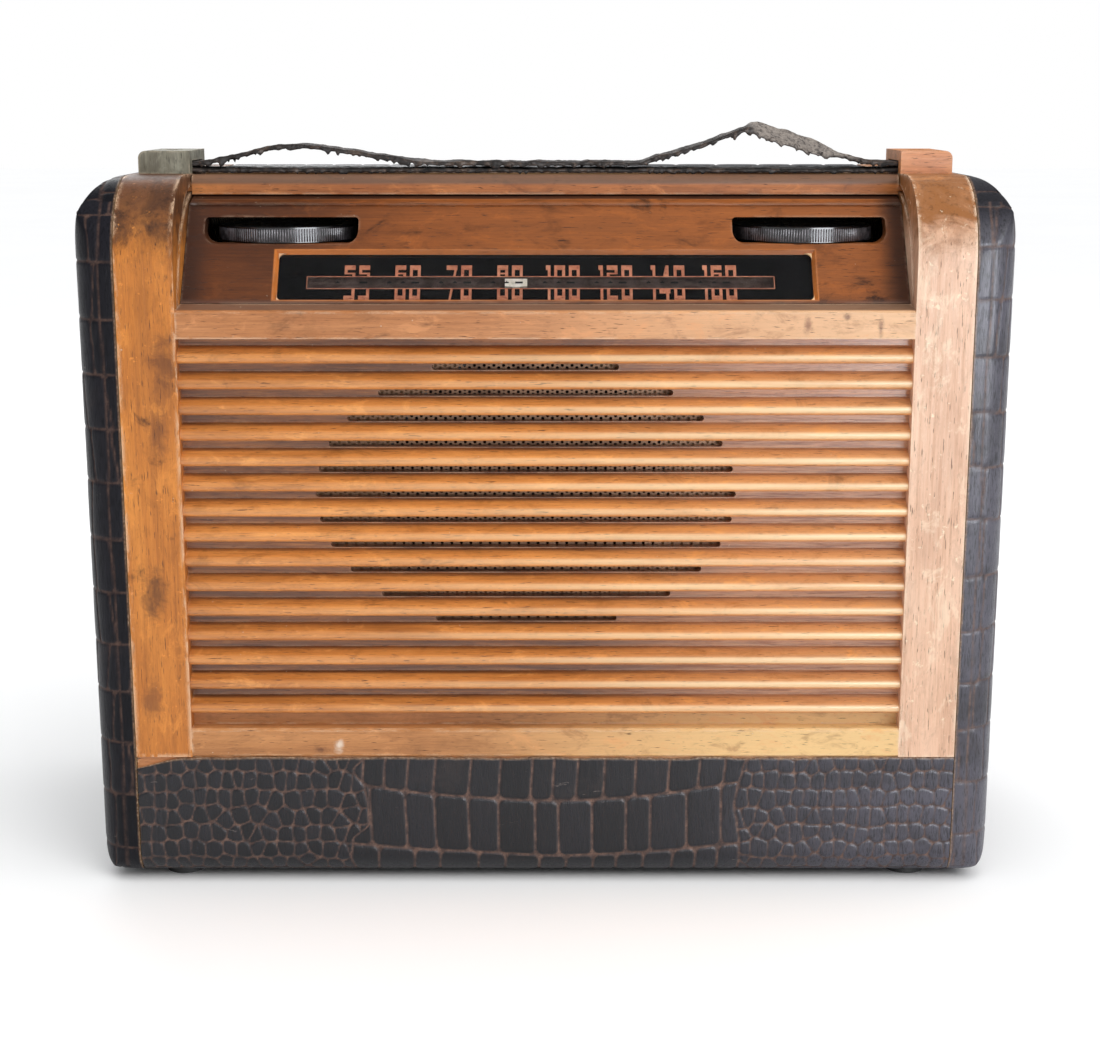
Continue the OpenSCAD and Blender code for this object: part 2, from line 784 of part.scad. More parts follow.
module back_door() {
    color(pale_wood) difference() {
        block([-door_half, door_half], [door_in_d, door_in_d + door_board_t],
            [door_low, door_high]);
        spigot(gland[0], gland[1], gland_r + 4, 100, case_d + eps);
    }
}
module leatherette_door() {
    color(hide) difference() {
        block([-door_half, door_half], [door_in_d + door_board_t, case_d - rear_inset],
            [door_low, door_high]);
        spigot(gland[0], gland[1], gland_r + 4, 100, case_d + eps);
    }
}
module cord_grommet() {
    color(black) difference() {
        union() {
            spigot(gland[0], gland[1], gland_r + 4, door_in_d - 1, case_d - 0.5);
            spigot(gland[0], gland[1], gland_r + 6.5, door_in_d - 2, door_in_d);
            spigot(gland[0], gland[1], gland_r + 6.5, case_d - rear_inset, case_d);
        }
        spigot(gland[0], gland[1], gland_r, 100, case_d + eps);
    }
}
module knuckle(x0, x1, bore) {
    translate([x0, front_y + pin_d, pin_z]) rotate([0, 90, 0]) difference() {
        cylinder(r = knuckle_r, h = x1 - x0);
        translate([0, 0, -eps]) cylinder(r = bore, h = x1 - x0 + 2 * eps);
    }
}
// Fixed leaves with their pins riveted in, and the catch brackets under the top
module cabinet_door_hardware() {
    grip = 7;
    color(brass) both_sides() {
        translate([hinge_x, 0, 0]) {
            block([-hinge_half, hinge_half], [132, pin_d - 1], [base_top, base_top + 1]);
            for (s = [-1, 1]) {
                x = s > 0 ? [grip, hinge_half] : [-hinge_half, -grip];
                block(x, [pin_d - 2, pin_d - 1], [base_top, pin_z]);
                knuckle(x[0], x[1], pin_r - 0.4);
            }
            translate([-hinge_half, front_y + pin_d, pin_z]) rotate([0, 90, 0])
                cylinder(r = pin_r, h = 2 * hinge_half);
        }
        difference() {
            union() {
                block([snap_x - 8, snap_x + 8], [141, 142.4], [snap_z - 7, case_top - rail_t]);
                block([snap_x - 8, snap_x + 8], [130, 142.4],
                    [case_top - rail_t - 1.2, case_top - rail_t]);
            }
            spigot(snap_x, snap_z, 3.6, 120, 150);
        }
    }
}
// Moving leaves and the snap studs
module door_hardware() {
    grip = 7 - slip;
    color(brass) both_sides() {
        translate([hinge_x, 0, 0]) difference() {
            union() {
                block([-hinge_half, hinge_half], [door_in_d - 1, door_in_d],
                    [pin_z + 3.4, pin_z + 20]);
                block([-grip, grip], [door_in_d - 1, door_in_d], [pin_z + 1, pin_z + 4]);
                block([-grip, grip], [door_in_d - 1, pin_d], [pin_z + 1, pin_z + 2]);
                knuckle(-grip, grip, pin_r);
            }
            translate([-grip - eps, front_y + pin_d, pin_z]) rotate([0, 90, 0])
                cylinder(r = pin_r + snug, h = 2 * grip + 2 * eps);
        }
        spigot(snap_x, snap_z, 5, door_in_d - 1.2, door_in_d);
        spigot(snap_x, snap_z, 2.4, 140.5, door_in_d);
        translate([snap_x, front_y + 140.5, snap_z]) sphere(r = 3);
    }
}
module loop_antenna() {
    color("#a5703c") front_slab(door_in_d - 3, door_in_d) translate([0, 60]) difference() {
        translate([-115, 0]) square([230, 185]);
        translate([-97, 18]) square([194, 149]);
    }
}

left_end_panel();
right_end_panel();
base_board();
front_apron_board();
rear_top_board();
leatherette_left();
leatherette_right();
leatherette_apron();
leatherette_top();
left_stile();
right_stile();
cross_rail();
bottom_rail();
grille_slats_plain();
grille_slat(2);  // grille_slat_02
grille_slat(3);  // grille_slat_03
grille_slat(4);  // grille_slat_04
grille_slat(5);  // grille_slat_05
grille_slat(6);  // grille_slat_06
grille_slat(7);  // grille_slat_07
grille_slat(8);  // grille_slat_08
grille_slat(9);  // grille_slat_09
grille_slat(10);  // grille_slat_10
grille_slat(11);  // grille_slat_11
grille_slat(12);  // grille_slat_12
perforated_screen();
speaker_baffle();
speaker_frame();
speaker_cone();
output_transformer();
dial_panel();
dial_glass();
dial_pan();
dial_cord();
dial_pointer();
chassis_pan();
vacuum_tubes();
shield_cans();
volume_control();
volume_wheel();
tuning_wheel();
capacitor_frame();
capacitor_rotor();
battery_pack();
tambour_bead();
tambour_slats();
tambour_canvas();
left_handle_block();
right_handle_block();
handle_screws();
strap_lower_layer();
strap_upper_layer();
feet();
cabinet_door_hardware();
back_door();
leatherette_door();
door_hardware();
loop_antenna();
cord_grommet();
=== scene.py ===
import math
import bpy
import numpy as np
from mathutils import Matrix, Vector
from mathutils.kdtree import KDTree


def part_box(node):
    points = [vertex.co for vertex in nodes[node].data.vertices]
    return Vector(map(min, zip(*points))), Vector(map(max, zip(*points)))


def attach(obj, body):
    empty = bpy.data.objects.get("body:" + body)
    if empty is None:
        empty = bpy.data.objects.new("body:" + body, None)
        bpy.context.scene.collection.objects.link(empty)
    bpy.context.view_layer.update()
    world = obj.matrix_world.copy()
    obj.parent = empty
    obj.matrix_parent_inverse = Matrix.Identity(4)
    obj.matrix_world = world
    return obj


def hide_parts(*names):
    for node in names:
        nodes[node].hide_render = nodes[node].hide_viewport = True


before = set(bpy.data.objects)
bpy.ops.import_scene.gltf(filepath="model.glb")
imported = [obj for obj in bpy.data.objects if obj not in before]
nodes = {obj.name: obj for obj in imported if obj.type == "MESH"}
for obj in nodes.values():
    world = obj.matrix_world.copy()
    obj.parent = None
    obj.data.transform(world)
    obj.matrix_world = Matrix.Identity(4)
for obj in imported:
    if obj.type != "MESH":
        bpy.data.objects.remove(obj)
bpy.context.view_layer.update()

COVER_T = 0.0012  # thickness of the covering over the boards
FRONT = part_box("left_end_panel")[0].y - COVER_T
LEAN = math.radians(37.1)  # slope of the dial panel
PANEL_D, PANEL_Z = 12, 236  # its foot: depth behind the front, and height, mm
SPEAKER = (-7.7, 161.2)  # centre of the loudspeaker in x and z, mm


# ---------------------------------------------------------------- numbers and noise

def smooth(a, b, x):
    t = np.clip((x - a) / (b - a), 0, 1)
    return t * t * (3 - 2 * t)


def wobble(p, size, seed=0):
    """Smooth noise from -1 to 1 at points p, with features of that size (one or three numbers)."""
    q = np.asarray(p, float) / np.asarray(size, float) + seed * 17.31
    i = np.floor(q).astype(np.int64)
    f = q - i
    f = f * f * (3 - 2 * f)
    out = np.zeros(len(q))
    for dx in (0, 1):
        for dy in (0, 1):
            for dz in (0, 1):
                n = (i[:, 0] + dx) * 73856093 ^ (i[:, 1] + dy) * 19349663 ^ (i[:, 2] + dz) * 83492791
                n = (n ^ (n >> 13)) * 1274126177 & 0x7FFFFFFF
                n = (n ^ (n >> 16)) & 0xFFFF
                w = (f[:, 0] if dx else 1 - f[:, 0]) * (f[:, 1] if dy else 1 - f[:, 1])
                out += w * (f[:, 2] if dz else 1 - f[:, 2]) * (n / 32767.5 - 1)
    return out


def wobble2(u, v, su, sv, seed=0):
    return wobble(np.stack([u, v, np.zeros_like(u)], 1), (su, sv, 1.0), seed)


# ---------------------------------------------------------------- meshes

def link(o):
    bpy.context.scene.collection.objects.link(o)


def new_mesh(name, verts, faces, material, smooth_shade=True, values=None):
    mesh = bpy.data.meshes.new(name)
    mesh.from_pydata(np.asarray(verts).tolist(), [], np.asarray(faces).tolist()
                     if isinstance(faces, np.ndarray) else faces)
    mesh.validate()
    if smooth_shade:
        mesh.polygons.foreach_set("use_smooth", np.ones(len(mesh.polygons), bool))
    for key, data in (values or {}).items():
        a = mesh.attributes.new(key, "FLOAT", "POINT")
        a.data.foreach_set("value", np.asarray(data, np.float32))
    mesh.materials.append(material)
    o = bpy.data.objects.new(name, mesh)
    link(o)
    return o


def grid_faces(n, m, close_m=False, start=0, flip=False):
    i, j = np.meshgrid(np.arange(n - 1), np.arange(m if close_m else m - 1), indexing="ij")
    k = (j + 1) % m
    f = np.stack([i * m + j, (i + 1) * m + j, (i + 1) * m + k, i * m + k], -1).reshape(-1, 4) + start
    return f[:, ::-1] if flip else f


def place(o, body, *stands_for, slot=None):
    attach(o, body)
    if stands_for:
        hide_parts(*stands_for)
    return o


def in_metres(x, y, z):
    return x * 1e-3, y * 1e-3, z * 1e-3


def boxes_mesh(name, boxes, material, to_world=None):
    """Many small blocks in one piece; each is ((x0, y0, z0), (x1, y1, z1))."""
    v, f = [], []
    for lo, hi in boxes:
        s = len(v)
        for x in (lo[0], hi[0]):
            for y in (lo[1], hi[1]):
                for z in (lo[2], hi[2]):
                    v.append((x, y, z))
        f += [[s + a for a in q] for q in
              ((0, 1, 3, 2), (4, 6, 7, 5), (0, 4, 5, 1), (2, 3, 7, 6), (0, 2, 6, 4), (1, 5, 7, 3))]
    if to_world is not None:
        v = [to_world(*p) for p in v]
    return new_mesh(name, v, f, material, smooth_shade=False)


# ---------------------------------------------------------------- materials

class Mat:
    """A material with a Principled shader, built by short calls."""

    def __init__(self, name):
        self.mat = bpy.data.materials.new(name)
        self.mat.use_nodes = True
        self.t = self.mat.node_tree
        self.t.nodes.clear()
        out = self.t.nodes.new("ShaderNodeOutputMaterial")
        self.b = self.t.nodes.new("ShaderNodeBsdfPrincipled")
        self.t.links.new(self.b.outputs[0], out.inputs[0])
        self.pos = self.t.nodes.new("ShaderNodeTexCoord").outputs["Object"]

    def put(self, socket, value):
        if isinstance(value, bpy.types.NodeSocket):
            self.t.links.new(value, socket)
        elif value is not None:
            socket.default_value = value

    def set(self, **values):
        for key, value in values.items():
            self.put(self.b.inputs[key.replace("_", " ")], value)
        return self

    def scaled(self, x, y, z):
        n = self.t.nodes.new("ShaderNodeMapping")
        self.put(n.inputs["Vector"], self.pos)
        n.inputs["Scale"].default_value = (x, y, z)
        n.inputs["Location"].default_value = (x * 0.731, y * 0.377, z * 0.519)
        return n.outputs[0]

    def noise(self, vec, detail=4.0, rough=0.5, twist=0.0):
        n = self.t.nodes.new("ShaderNodeTexNoise")
        self.put(n.inputs["Vector"], vec)
        n.inputs["Scale"].default_value = 1.0
        n.inputs["Detail"].default_value = detail
        n.inputs["Roughness"].default_value = rough
        n.inputs["Distortion"].default_value = twist
        return n.outputs["Fac"]

    def cloud(self, size, detail, rough=0.5, twist=0.0):
        """Noise with the same frequency along all three axes."""
        return self.noise(self.scaled(size, size, size), detail, rough, twist)

    def wave(self, vec, scale, twist, detail=2.0, axis="X"):
        n = self.t.nodes.new("ShaderNodeTexWave")
        n.bands_direction = axis
        self.put(n.inputs["Vector"], vec)
        n.inputs["Scale"].default_value = scale
        n.inputs["Distortion"].default_value = twist
        n.inputs["Detail"].default_value = detail
        return n.outputs["Fac"]

    def range(self, v, a, b, c=0.0, d=1.0):
        """Smooth step of v from a..b to c..d."""
        n = self.t.nodes.new("ShaderNodeMapRange")
        n.interpolation_type = "SMOOTHSTEP"
        self.put(n.inputs[0], v)
        for i, x in zip((1, 2, 3, 4), (a, b, c, d)):
            n.inputs[i].default_value = x
        return n.outputs[0]

    def math(self, op, a, b=0.5, clamp=False):
        n = self.t.nodes.new("ShaderNodeMath")
        n.operation = op
        n.use_clamp = clamp
        self.put(n.inputs[0], a)
        self.put(n.inputs[1], b)
        return n.outputs[0]

    def mul(self, a, b):
        return self.math("MULTIPLY", a, b)

    def add(self, a, b, clamp=False):
        return self.math("ADD", a, b, clamp)

    def ramp(self, fac, *stops):
        n = self.t.nodes.new("ShaderNodeValToRGB")
        r = n.color_ramp
        while len(r.elements) < len(stops):
            r.elements.new(0.5)
        for e, (p, c) in zip(r.elements, stops):
            e.position = p
            e.color = (*c, 1.0)
        self.put(n.inputs[0], fac)
        return n.outputs[0]

    def mix(self, a, b, fac):
        n = self.t.nodes.new("ShaderNodeMix")
        n.data_type = "RGBA"
        self.put(n.inputs[0], fac)
        for socket, c in ((n.inputs[6], a), (n.inputs[7], b)):
            self.put(socket, c if isinstance(c, bpy.types.NodeSocket) else (*c, 1.0))
        return n.outputs[2]

    def axis(self, i):
        n = self.t.nodes.new("ShaderNodeSeparateXYZ")
        self.put(n.inputs[0], self.pos)
        return n.outputs[i]

    def attr(self, name):
        n = self.t.nodes.new("ShaderNodeAttribute")
        n.attribute_name = name
        return n.outputs["Fac"]

    def edge(self, radius):
        """About 0 on flats and 1 along outside edges within that radius."""
        bevel = self.t.nodes.new("ShaderNodeBevel")
        bevel.samples = 3
        bevel.inputs[0].default_value = radius
        geo = self.t.nodes.new("ShaderNodeNewGeometry")
        dot = self.t.nodes.new("ShaderNodeVectorMath")
        dot.operation = "DOT_PRODUCT"
        self.put(dot.inputs[0], bevel.outputs[0])
        self.put(dot.inputs[1], geo.outputs["Normal"])
        return self.range(dot.outputs["Value"], 0.995, 0.8)

    def bump(self, height, distance, strength=1.0, after=None):
        n = self.t.nodes.new("ShaderNodeBump")
        n.inputs["Strength"].default_value = strength
        n.inputs["Distance"].default_value = distance
        self.put(n.inputs["Height"], height)
        if after is not None:
            self.put(n.inputs["Normal"], after)
        self.put(self.b.inputs["Normal"], n.outputs[0])
        return n.outputs[0]


def srgb(r, g, b):
    return tuple(((c / 255 + 0.055) / 1.055) ** 2.4 if c > 10 else c / 255 / 12.92 for c in (r, g, b))


def tones(codes):
    """Colours from hex codes in one string."""
    return [srgb(*bytes.fromhex(code)) for code in codes.split()]


def tone_of(colour, factor):
    return tuple(min(1, c * factor) for c in colour)


def wood(name, light, mid, dark, axis="X", seed=0.0, gloss=0.42, pores=1.0, smudge=0.0, chips=0.5,
         recess=None, worn=0.5, tint=None, ledge=0.0, brow=None, rim=False, nose_highlight=None, shade=None,
         grey_top=False, rub=0.0016, spots=(), coat=0.10, shine=0.28):
    """Old varnished wood: figure, grain and pores along an axis, worn pale edges, dark smudges and small
    chips, with optional painted light: a paler side towards the lamps, a darker shaded side, painted shade in
    recesses and a painted highlight along slat noses.
    """
    m = Mat(name)

    def stretched(along, across):
        s = [across] * 3
        s["XYZ".index(axis)] = along
        n = m.scaled(*s)
        n.node.inputs["Location"].default_value = (seed * 3.7, seed * 1.9, seed * 2.3)
        return n

    figure = m.noise(stretched(9, 70), 5, 0.6, 0.8)
    grain = m.noise(stretched(28, 900), 6, 0.65, 0.35)
    fine = m.noise(stretched(120, 4200), 3, 0.6)
    broad = m.noise(stretched(9, 16), 3, 0.5, 0.4)
    body = m.ramp(figure, (0.30, dark), (0.47, mid), (0.66, light))
    body = m.mix(body, m.ramp(grain, (0.33, dark), (0.5, mid), (0.68, light)), 0.42)
    body = m.mix(body, m.ramp(broad, (0.32, tone_of(mid, 0.72)), (0.66, light)), 0.35)
    body = m.mix(body, tone_of(dark, 0.55), m.range(fine, 0.58, 0.70, 0, 0.45))
    # Painted light: mixes in the tint colour along X, paler towards the lamps on the right, as if that side
    # were lit.
    if tint:
        body = m.mix(body, tint[0], m.range(m.axis(0), tint[1], tint[2], 0, tint[3]))
    pore = m.noise(stretched(170, 2000), 3, 0.55)
    body = m.mix(body, tone_of(dark, 0.30), m.range(pore, 0.62, 0.70, 0, 0.8 * pores))
    mottle = m.noise(stretched(60, 130), 5, 0.7, 0.6)
    body = m.mix(body, tone_of(mid, 0.62), m.range(mottle, 0.50, 0.70, 0, 0.5 * pores))
    body = m.mix(body, tone_of(light, 1.18), m.range(mottle, 0.46, 0.32, 0, 0.45 * pores))
    if smudge:
        patch = m.noise(stretched(26, 42), 6, 0.68, 1.2)
        body = m.mix(body, tone_of(dark, 0.22), m.range(patch, 0.56, 0.72, 0, smudge))
    rough = m.range(grain, 0.3, 0.7, gloss + 0.14, gloss - 0.05)
    if recess:
        # Painted shade in the recesses, mixed with dirt: darker with depth behind the front, mottled by noise
        # and dark streaks; towards +X the recess tone turns pale, painted light from the right.
        y0, y1, tone, amount = recess
        stripe = m.noise(stretched(40, 900), 5, 0.7, 0.5)
        pale = m.mix(srgb(160, 108, 84), srgb(222, 176, 144), m.range(stripe, 0.36, 0.62))
        tone = m.mix(tone, pale, m.range(m.axis(0), 0.0, 0.09, 0.1, 0.85))
        shade_and_dirt = m.noise(stretched(14, 300), 6, 0.7, 0.8)
        depth = m.range(m.axis(1), FRONT + y0, FRONT + y1)
        body = m.mix(body, tone, m.mul(depth, m.range(shade_and_dirt, 0.30, 0.66, amount * 0.45, amount)))
        streak = m.noise(stretched(7, 500), 4, 0.6)
        body = m.mix(body, tone_of(dark, 0.3),
                     m.mul(depth, m.range(streak, 0.56, 0.70, 0, 0.6)))
    if brow:
        # Darker towards the top of the brow, mottled, with dark flecks and paler patches.
        brow_from, brow_to = 0.251, 0.273  # heights between which the brow darkens
        brow_mottle = m.cloud(60, 5, 0.65, 0.8)
        high = m.range(m.add(m.axis(2), m.range(brow_mottle, 0.3, 0.7, -0.006, 0.006)), brow_from, brow_to)
        body = m.mix(body, brow, m.mul(high, m.range(brow_mottle, 0.30, 0.62, 0.78, 0.97)))
        fleck = m.cloud(330, 5, 0.7)
        body = m.mix(body, tone_of(brow, 0.35),
                     m.mul(high, m.range(fleck, 0.50, 0.66, 0, 0.5)))
        body = m.mix(body, tone_of(brow, 1.9),
                     m.mul(high, m.range(brow_mottle, 0.50, 0.34, 0, 0.55)))
        scurf = m.cloud(210, 5, 0.7)
        body = m.mix(body, tone_of(light, 1.25), m.range(scurf, 0.62, 0.70, 0, 0.6))
    # Painted highlight along the slat noses, 1.35 to 1.9 mm behind the front, stronger towards +X.
    if nose_highlight:
        front = m.range(m.axis(1), FRONT + 0.0019, FRONT + 0.00135)
        streak = m.noise(stretched(12, 200), 5, 0.6, 0.4)
        body = m.mix(body, nose_highlight[0], m.mul(m.mul(front, m.range(streak, 0.3, 0.62, 0.45, 1.0)),
                                           m.range(m.axis(0), -0.12, 0.13, nose_highlight[1], nose_highlight[2])))
    for x, z, rx, rz, tone in spots:
        ragged = m.cloud(170, 6, 0.72, 0.8)
        u = m.mul(m.math("SUBTRACT", m.axis(0), x), 1 / rx)
        v = m.mul(m.math("SUBTRACT", m.axis(2), z), 1 / rz)
        r = m.add(m.math("SQRT", m.add(m.mul(u, u), m.mul(v, v)), 0),
                   m.range(ragged, 0.25, 0.75, -0.45, 0.45))
        body = m.mix(body, tone, m.range(r, 1.3, 0.1, 0, 0.7))
    if ledge:
        top = m.mul(m.range(m.axis(1), FRONT + 0.0012, FRONT + 0.0032),
                     m.range(m.axis(2), 0.2335, 0.2343))
        body = m.mix(body, srgb(104, 80, 68), m.mul(top, ledge))
    if grey_top:
        # Greyer colour on the top of the bead.
        body = m.mix(body, srgb(104, 82, 68), m.range(m.axis(2), 0.2796, 0.2812, 0, 0.85))
    if shade:
        body = m.mix(body, shade[0], m.range(m.axis(0), shade[1], shade[2], 0, shade[3]))
    if rim:
        span = m.math("ABSOLUTE", m.axis(0), 0)
        # Painted shade: both ends of the panel darkened where the cheeks shade them.
        side = m.range(span, 0.1290, 0.1395, 0, 0.9)
        body = m.mix(body, srgb(58, 38, 30), m.mul(side, m.range(broad, 0.3, 0.6, 0.6, 1.0)))
        u = m.add(m.mul(m.math("SUBTRACT", m.axis(1), FRONT + PANEL_D * 1e-3), math.sin(LEAN)),
                   m.mul(m.math("SUBTRACT", m.axis(2), PANEL_Z * 1e-3), math.cos(LEAN)))
        frame_z = m.mul(m.range(u, 0.0006, 0.0014), m.range(u, 0.0252, 0.0246))
        frame_x = m.range(span, 0.1072, 0.1066)
        lit = m.mul(frame_z, frame_x)
        body = m.mix(body, srgb(214, 124, 48), m.mul(lit, m.range(broad, 0.35, 0.62, 0.75, 0.25)))
        low = m.range(u, 0.0024, 0.0004, 0, 0.75)
        body = m.mix(body, srgb(96, 70, 60), m.mul(low, m.range(broad, 0.3, 0.6, 0.6, 1.0)))
    if worn:
        e = m.edge(rub)
        scrape = m.noise(stretched(70, 260), 5, 0.7)
        body = m.mix(body, tuple(0.35 * c + 0.65 * k for c, k in zip(light, srgb(246, 226, 198))),
                     m.mul(e, m.range(scrape, 0.42, 0.56, 0, worn)))
    chip = m.cloud(430, 3, 0.55)
    body = m.mix(body, (0.75, 0.62, 0.46), m.range(chip, 0.735, 0.775, 0, chips))
    m.set(Base_Color=body, Roughness=rough, Coat_Weight=coat, Coat_Roughness=shine, Specular_IOR_Level=0.35)
    m.b.inputs["IOR"].default_value = 1.48
    first = m.bump(grain, 0.00025, 0.55)
    m.bump(m.add(m.range(pore, 0.66, 0.72, 0, -1.0), m.range(chip, 0.73, 0.78, 0, -1.0)),
           0.00025, 0.6, first)
    return m.mat


def strap_leather(name):
    """Perished leather: black-brown, crazed, with rubbed tan lumps and a bleached stretch."""
    m = Mat(name)
    cloud = m.cloud(150, 6, 0.7, 0.8)
    grain = m.noise(m.scaled(700, 900, 900), 5, 0.65)
    craze = m.noise(m.scaled(420, 160, 420), 6, 0.75, 1.4)
    body = m.ramp(cloud, (0.34, srgb(20, 17, 16)), (0.52, srgb(44, 36, 32)), (0.70, srgb(96, 78, 66)))
    body = m.mix(body, srgb(120, 84, 62), m.range(grain, 0.60, 0.72, 0, 0.7))
    grey = m.mix(srgb(96, 87, 82), srgb(150, 140, 131), m.range(craze, 0.36, 0.62))
    body = m.mix(body, grey, m.attr("pale"))
    body = m.mix(body, srgb(14, 12, 11), m.range(craze, 0.40, 0.33, 0, 0.85))
    m.set(Base_Color=body, Roughness=m.range(cloud, 0.3, 0.7, 0.74, 0.50))
    m.bump(m.add(m.mul(grain, 0.4), m.range(craze, 0.33, 0.45)), 0.0005, 0.8)
    return m.mat


def knurl(name):
    """Black plastic whose ridge tops are painted grey as a highlight, while the grooves stay near black."""
    m = Mat(name)
    rub = m.cloud(260, 4, 0.65)
    grit = m.cloud(1800, 3, 0.6)
    # ridge: painted highlight on the ridge tops, grey mottled by noise.
    ridge = m.mix(srgb(62, 60, 64), srgb(126, 122, 128), m.range(rub, 0.35, 0.65))
    low = m.mix(srgb(7, 7, 8), srgb(22, 20, 20), m.range(grit, 0.4, 0.7))
    m.set(Base_Color=m.mix(low, ridge, m.attr("crest")), Roughness=m.range(grit, 0.3, 0.7, 0.30, 0.45),
          Coat_Weight=0.2, Coat_Roughness=0.15)
    m.bump(grit, 0.00003, 0.5)
    return m.mat


def croc(name, level, coat):
    """Embossed coated cloth: blue-black shiny scales, worn brown grooves, fine creases, and a painted sheen
    that turns the scales blue-grey towards +X.
    """
    m = Mat(name)
    groove, tone, raw = m.attr("groove"), m.attr("tone"), m.attr("raw")
    crease = m.noise(m.scaled(1500, 1500, 210), 5, 0.66, 0.5)
    grit = m.cloud(2600, 3, 0.6)
    patch = m.cloud(34, 5, 0.62, 0.6)
    scale = m.mix(srgb(18, 18, 23), srgb(31, 30, 36), tone)
    painted_sheen = m.noise(m.scaled(14, 14, 30), 5, 0.6, 0.8)
    # Painted sheen: the scales turn blue-grey towards +X, fading out near the top, as light on the right end.
    scale = m.mix(scale, srgb(92, 90, 102), m.mul(m.mul(m.range(m.axis(0), 0.04, 0.17, 0, 0.85),
                                                                    m.range(m.axis(2), 0.276, 0.258, 0.1, 1)),
                                                  m.range(painted_sheen, 0.32, 0.62, 0.35, 1.0)))
    scale = m.mix(scale, srgb(11, 11, 16), m.range(crease, 0.36, 0.52, 0.7, 0))
    scale = m.mix(scale, srgb(58, 57, 66), m.range(crease, 0.58, 0.74, 0, 0.5))
    scale = m.mix(scale, srgb(52, 44, 44), m.range(patch, 0.55, 0.72, 0, 0.5))
    line = m.ramp(m.cloud(260, 5, 0.7),
                  (0.28, srgb(40, 30, 30)), (0.48, srgb(88, 66, 58)), (0.66, srgb(128, 98, 84)))
    body = m.mix(scale, line, m.mul(groove, m.range(grit, 0.32, 0.50, 0.55, 1.0)))
    scuff = m.noise(m.scaled(120, 120, 300), 6, 0.72, 1.0)
    body = m.mix(body, srgb(122, 112, 108), m.range(scuff, 0.665, 0.73, 0, 0.7))
    cloth = m.ramp(m.cloud(900, 4, 0.6),
                   (0.3, srgb(92, 62, 42)), (0.5, srgb(166, 128, 96)), (0.7, srgb(206, 180, 152)))
    body = m.mix(body, cloth, raw)
    rough = m.add(m.range(crease, 0.3, 0.7, 0.40, 0.26), m.mul(groove, 0.36))
    m.set(Base_Color=body, Roughness=m.add(rough, m.mul(raw, 0.25), True),
          Coat_Weight=coat, Coat_Roughness=0.2, Specular_IOR_Level=level)
    first = m.bump(crease, 0.00022, 0.75)
    m.bump(grit, 0.00006, 0.5, first)
    return m.mat


def metal(name, colour, dull, rough, brushed=None, metallic=1.0, stains=0.5):
    m = Mat(name)
    cloud = m.cloud(45, 6, 0.65, 0.8)
    scratch = m.noise(m.scaled(*(brushed or (900, 900, 900))), 4, 0.6)
    pit = m.cloud(700, 3, 0.6)
    body = m.mix(colour, dull, m.range(cloud, 0.42, 0.68, 0, stains))
    body = m.mix(body, tone_of(dull, 0.5), m.range(pit, 0.64, 0.74, 0, 0.6))
    m.set(Base_Color=body, Metallic=metallic,
          Roughness=m.add(m.range(cloud, 0.35, 0.7, rough - 0.08, rough + 0.2),
                           m.range(scratch, 0.3, 0.7, -0.05, 0.06)))
    m.bump(m.add(scratch, m.range(pit, 0.64, 0.74, 0, -1.0)), 0.00008, 0.5)
    return m.mat


def plain(name, a, b, c, rough, size=60, fine=900, height=0.0001, speck=None, weave=None, **more):
    """A matt or satin stuff with cloudy colour, fine grain and optional specks or weave."""
    m = Mat(name)
    cloud = m.cloud(size, 5, 0.62, 0.7)
    grain = m.cloud(fine, 4, 0.6)
    body = m.ramp(cloud, (0.32, a), (0.5, b), (0.68, c))
    body = m.mix(body, tone_of(a, 0.6), m.range(grain, 0.55, 0.72, 0, 0.45))
    h = grain
    if weave:
        warp = m.wave(m.scaled(weave, weave, weave), 1.0, 0.6, 1.0, "X")
        weft = m.wave(m.scaled(weave, weave, weave), 1.0, 0.6, 1.0, "Y")
        other = m.wave(m.scaled(weave, weave, weave), 1.0, 0.6, 1.0, "Z")
        h = m.add(m.mul(warp, m.add(weft, other)), m.mul(grain, 0.5))
        body = m.mix(body, tone_of(a, 0.55), m.range(h, 0.2, 1.1, 0.55, 0))
    if speck:
        s = m.cloud(1300, 2, 0.5)
        body = m.mix(body, speck, m.range(s, 0.68, 0.74, 0, 0.7))
    m.set(Base_Color=body, Roughness=m.range(cloud, 0.3, 0.7, rough + 0.1, rough - 0.06), **more)
    m.bump(h, height, 0.8)
    return m.mat


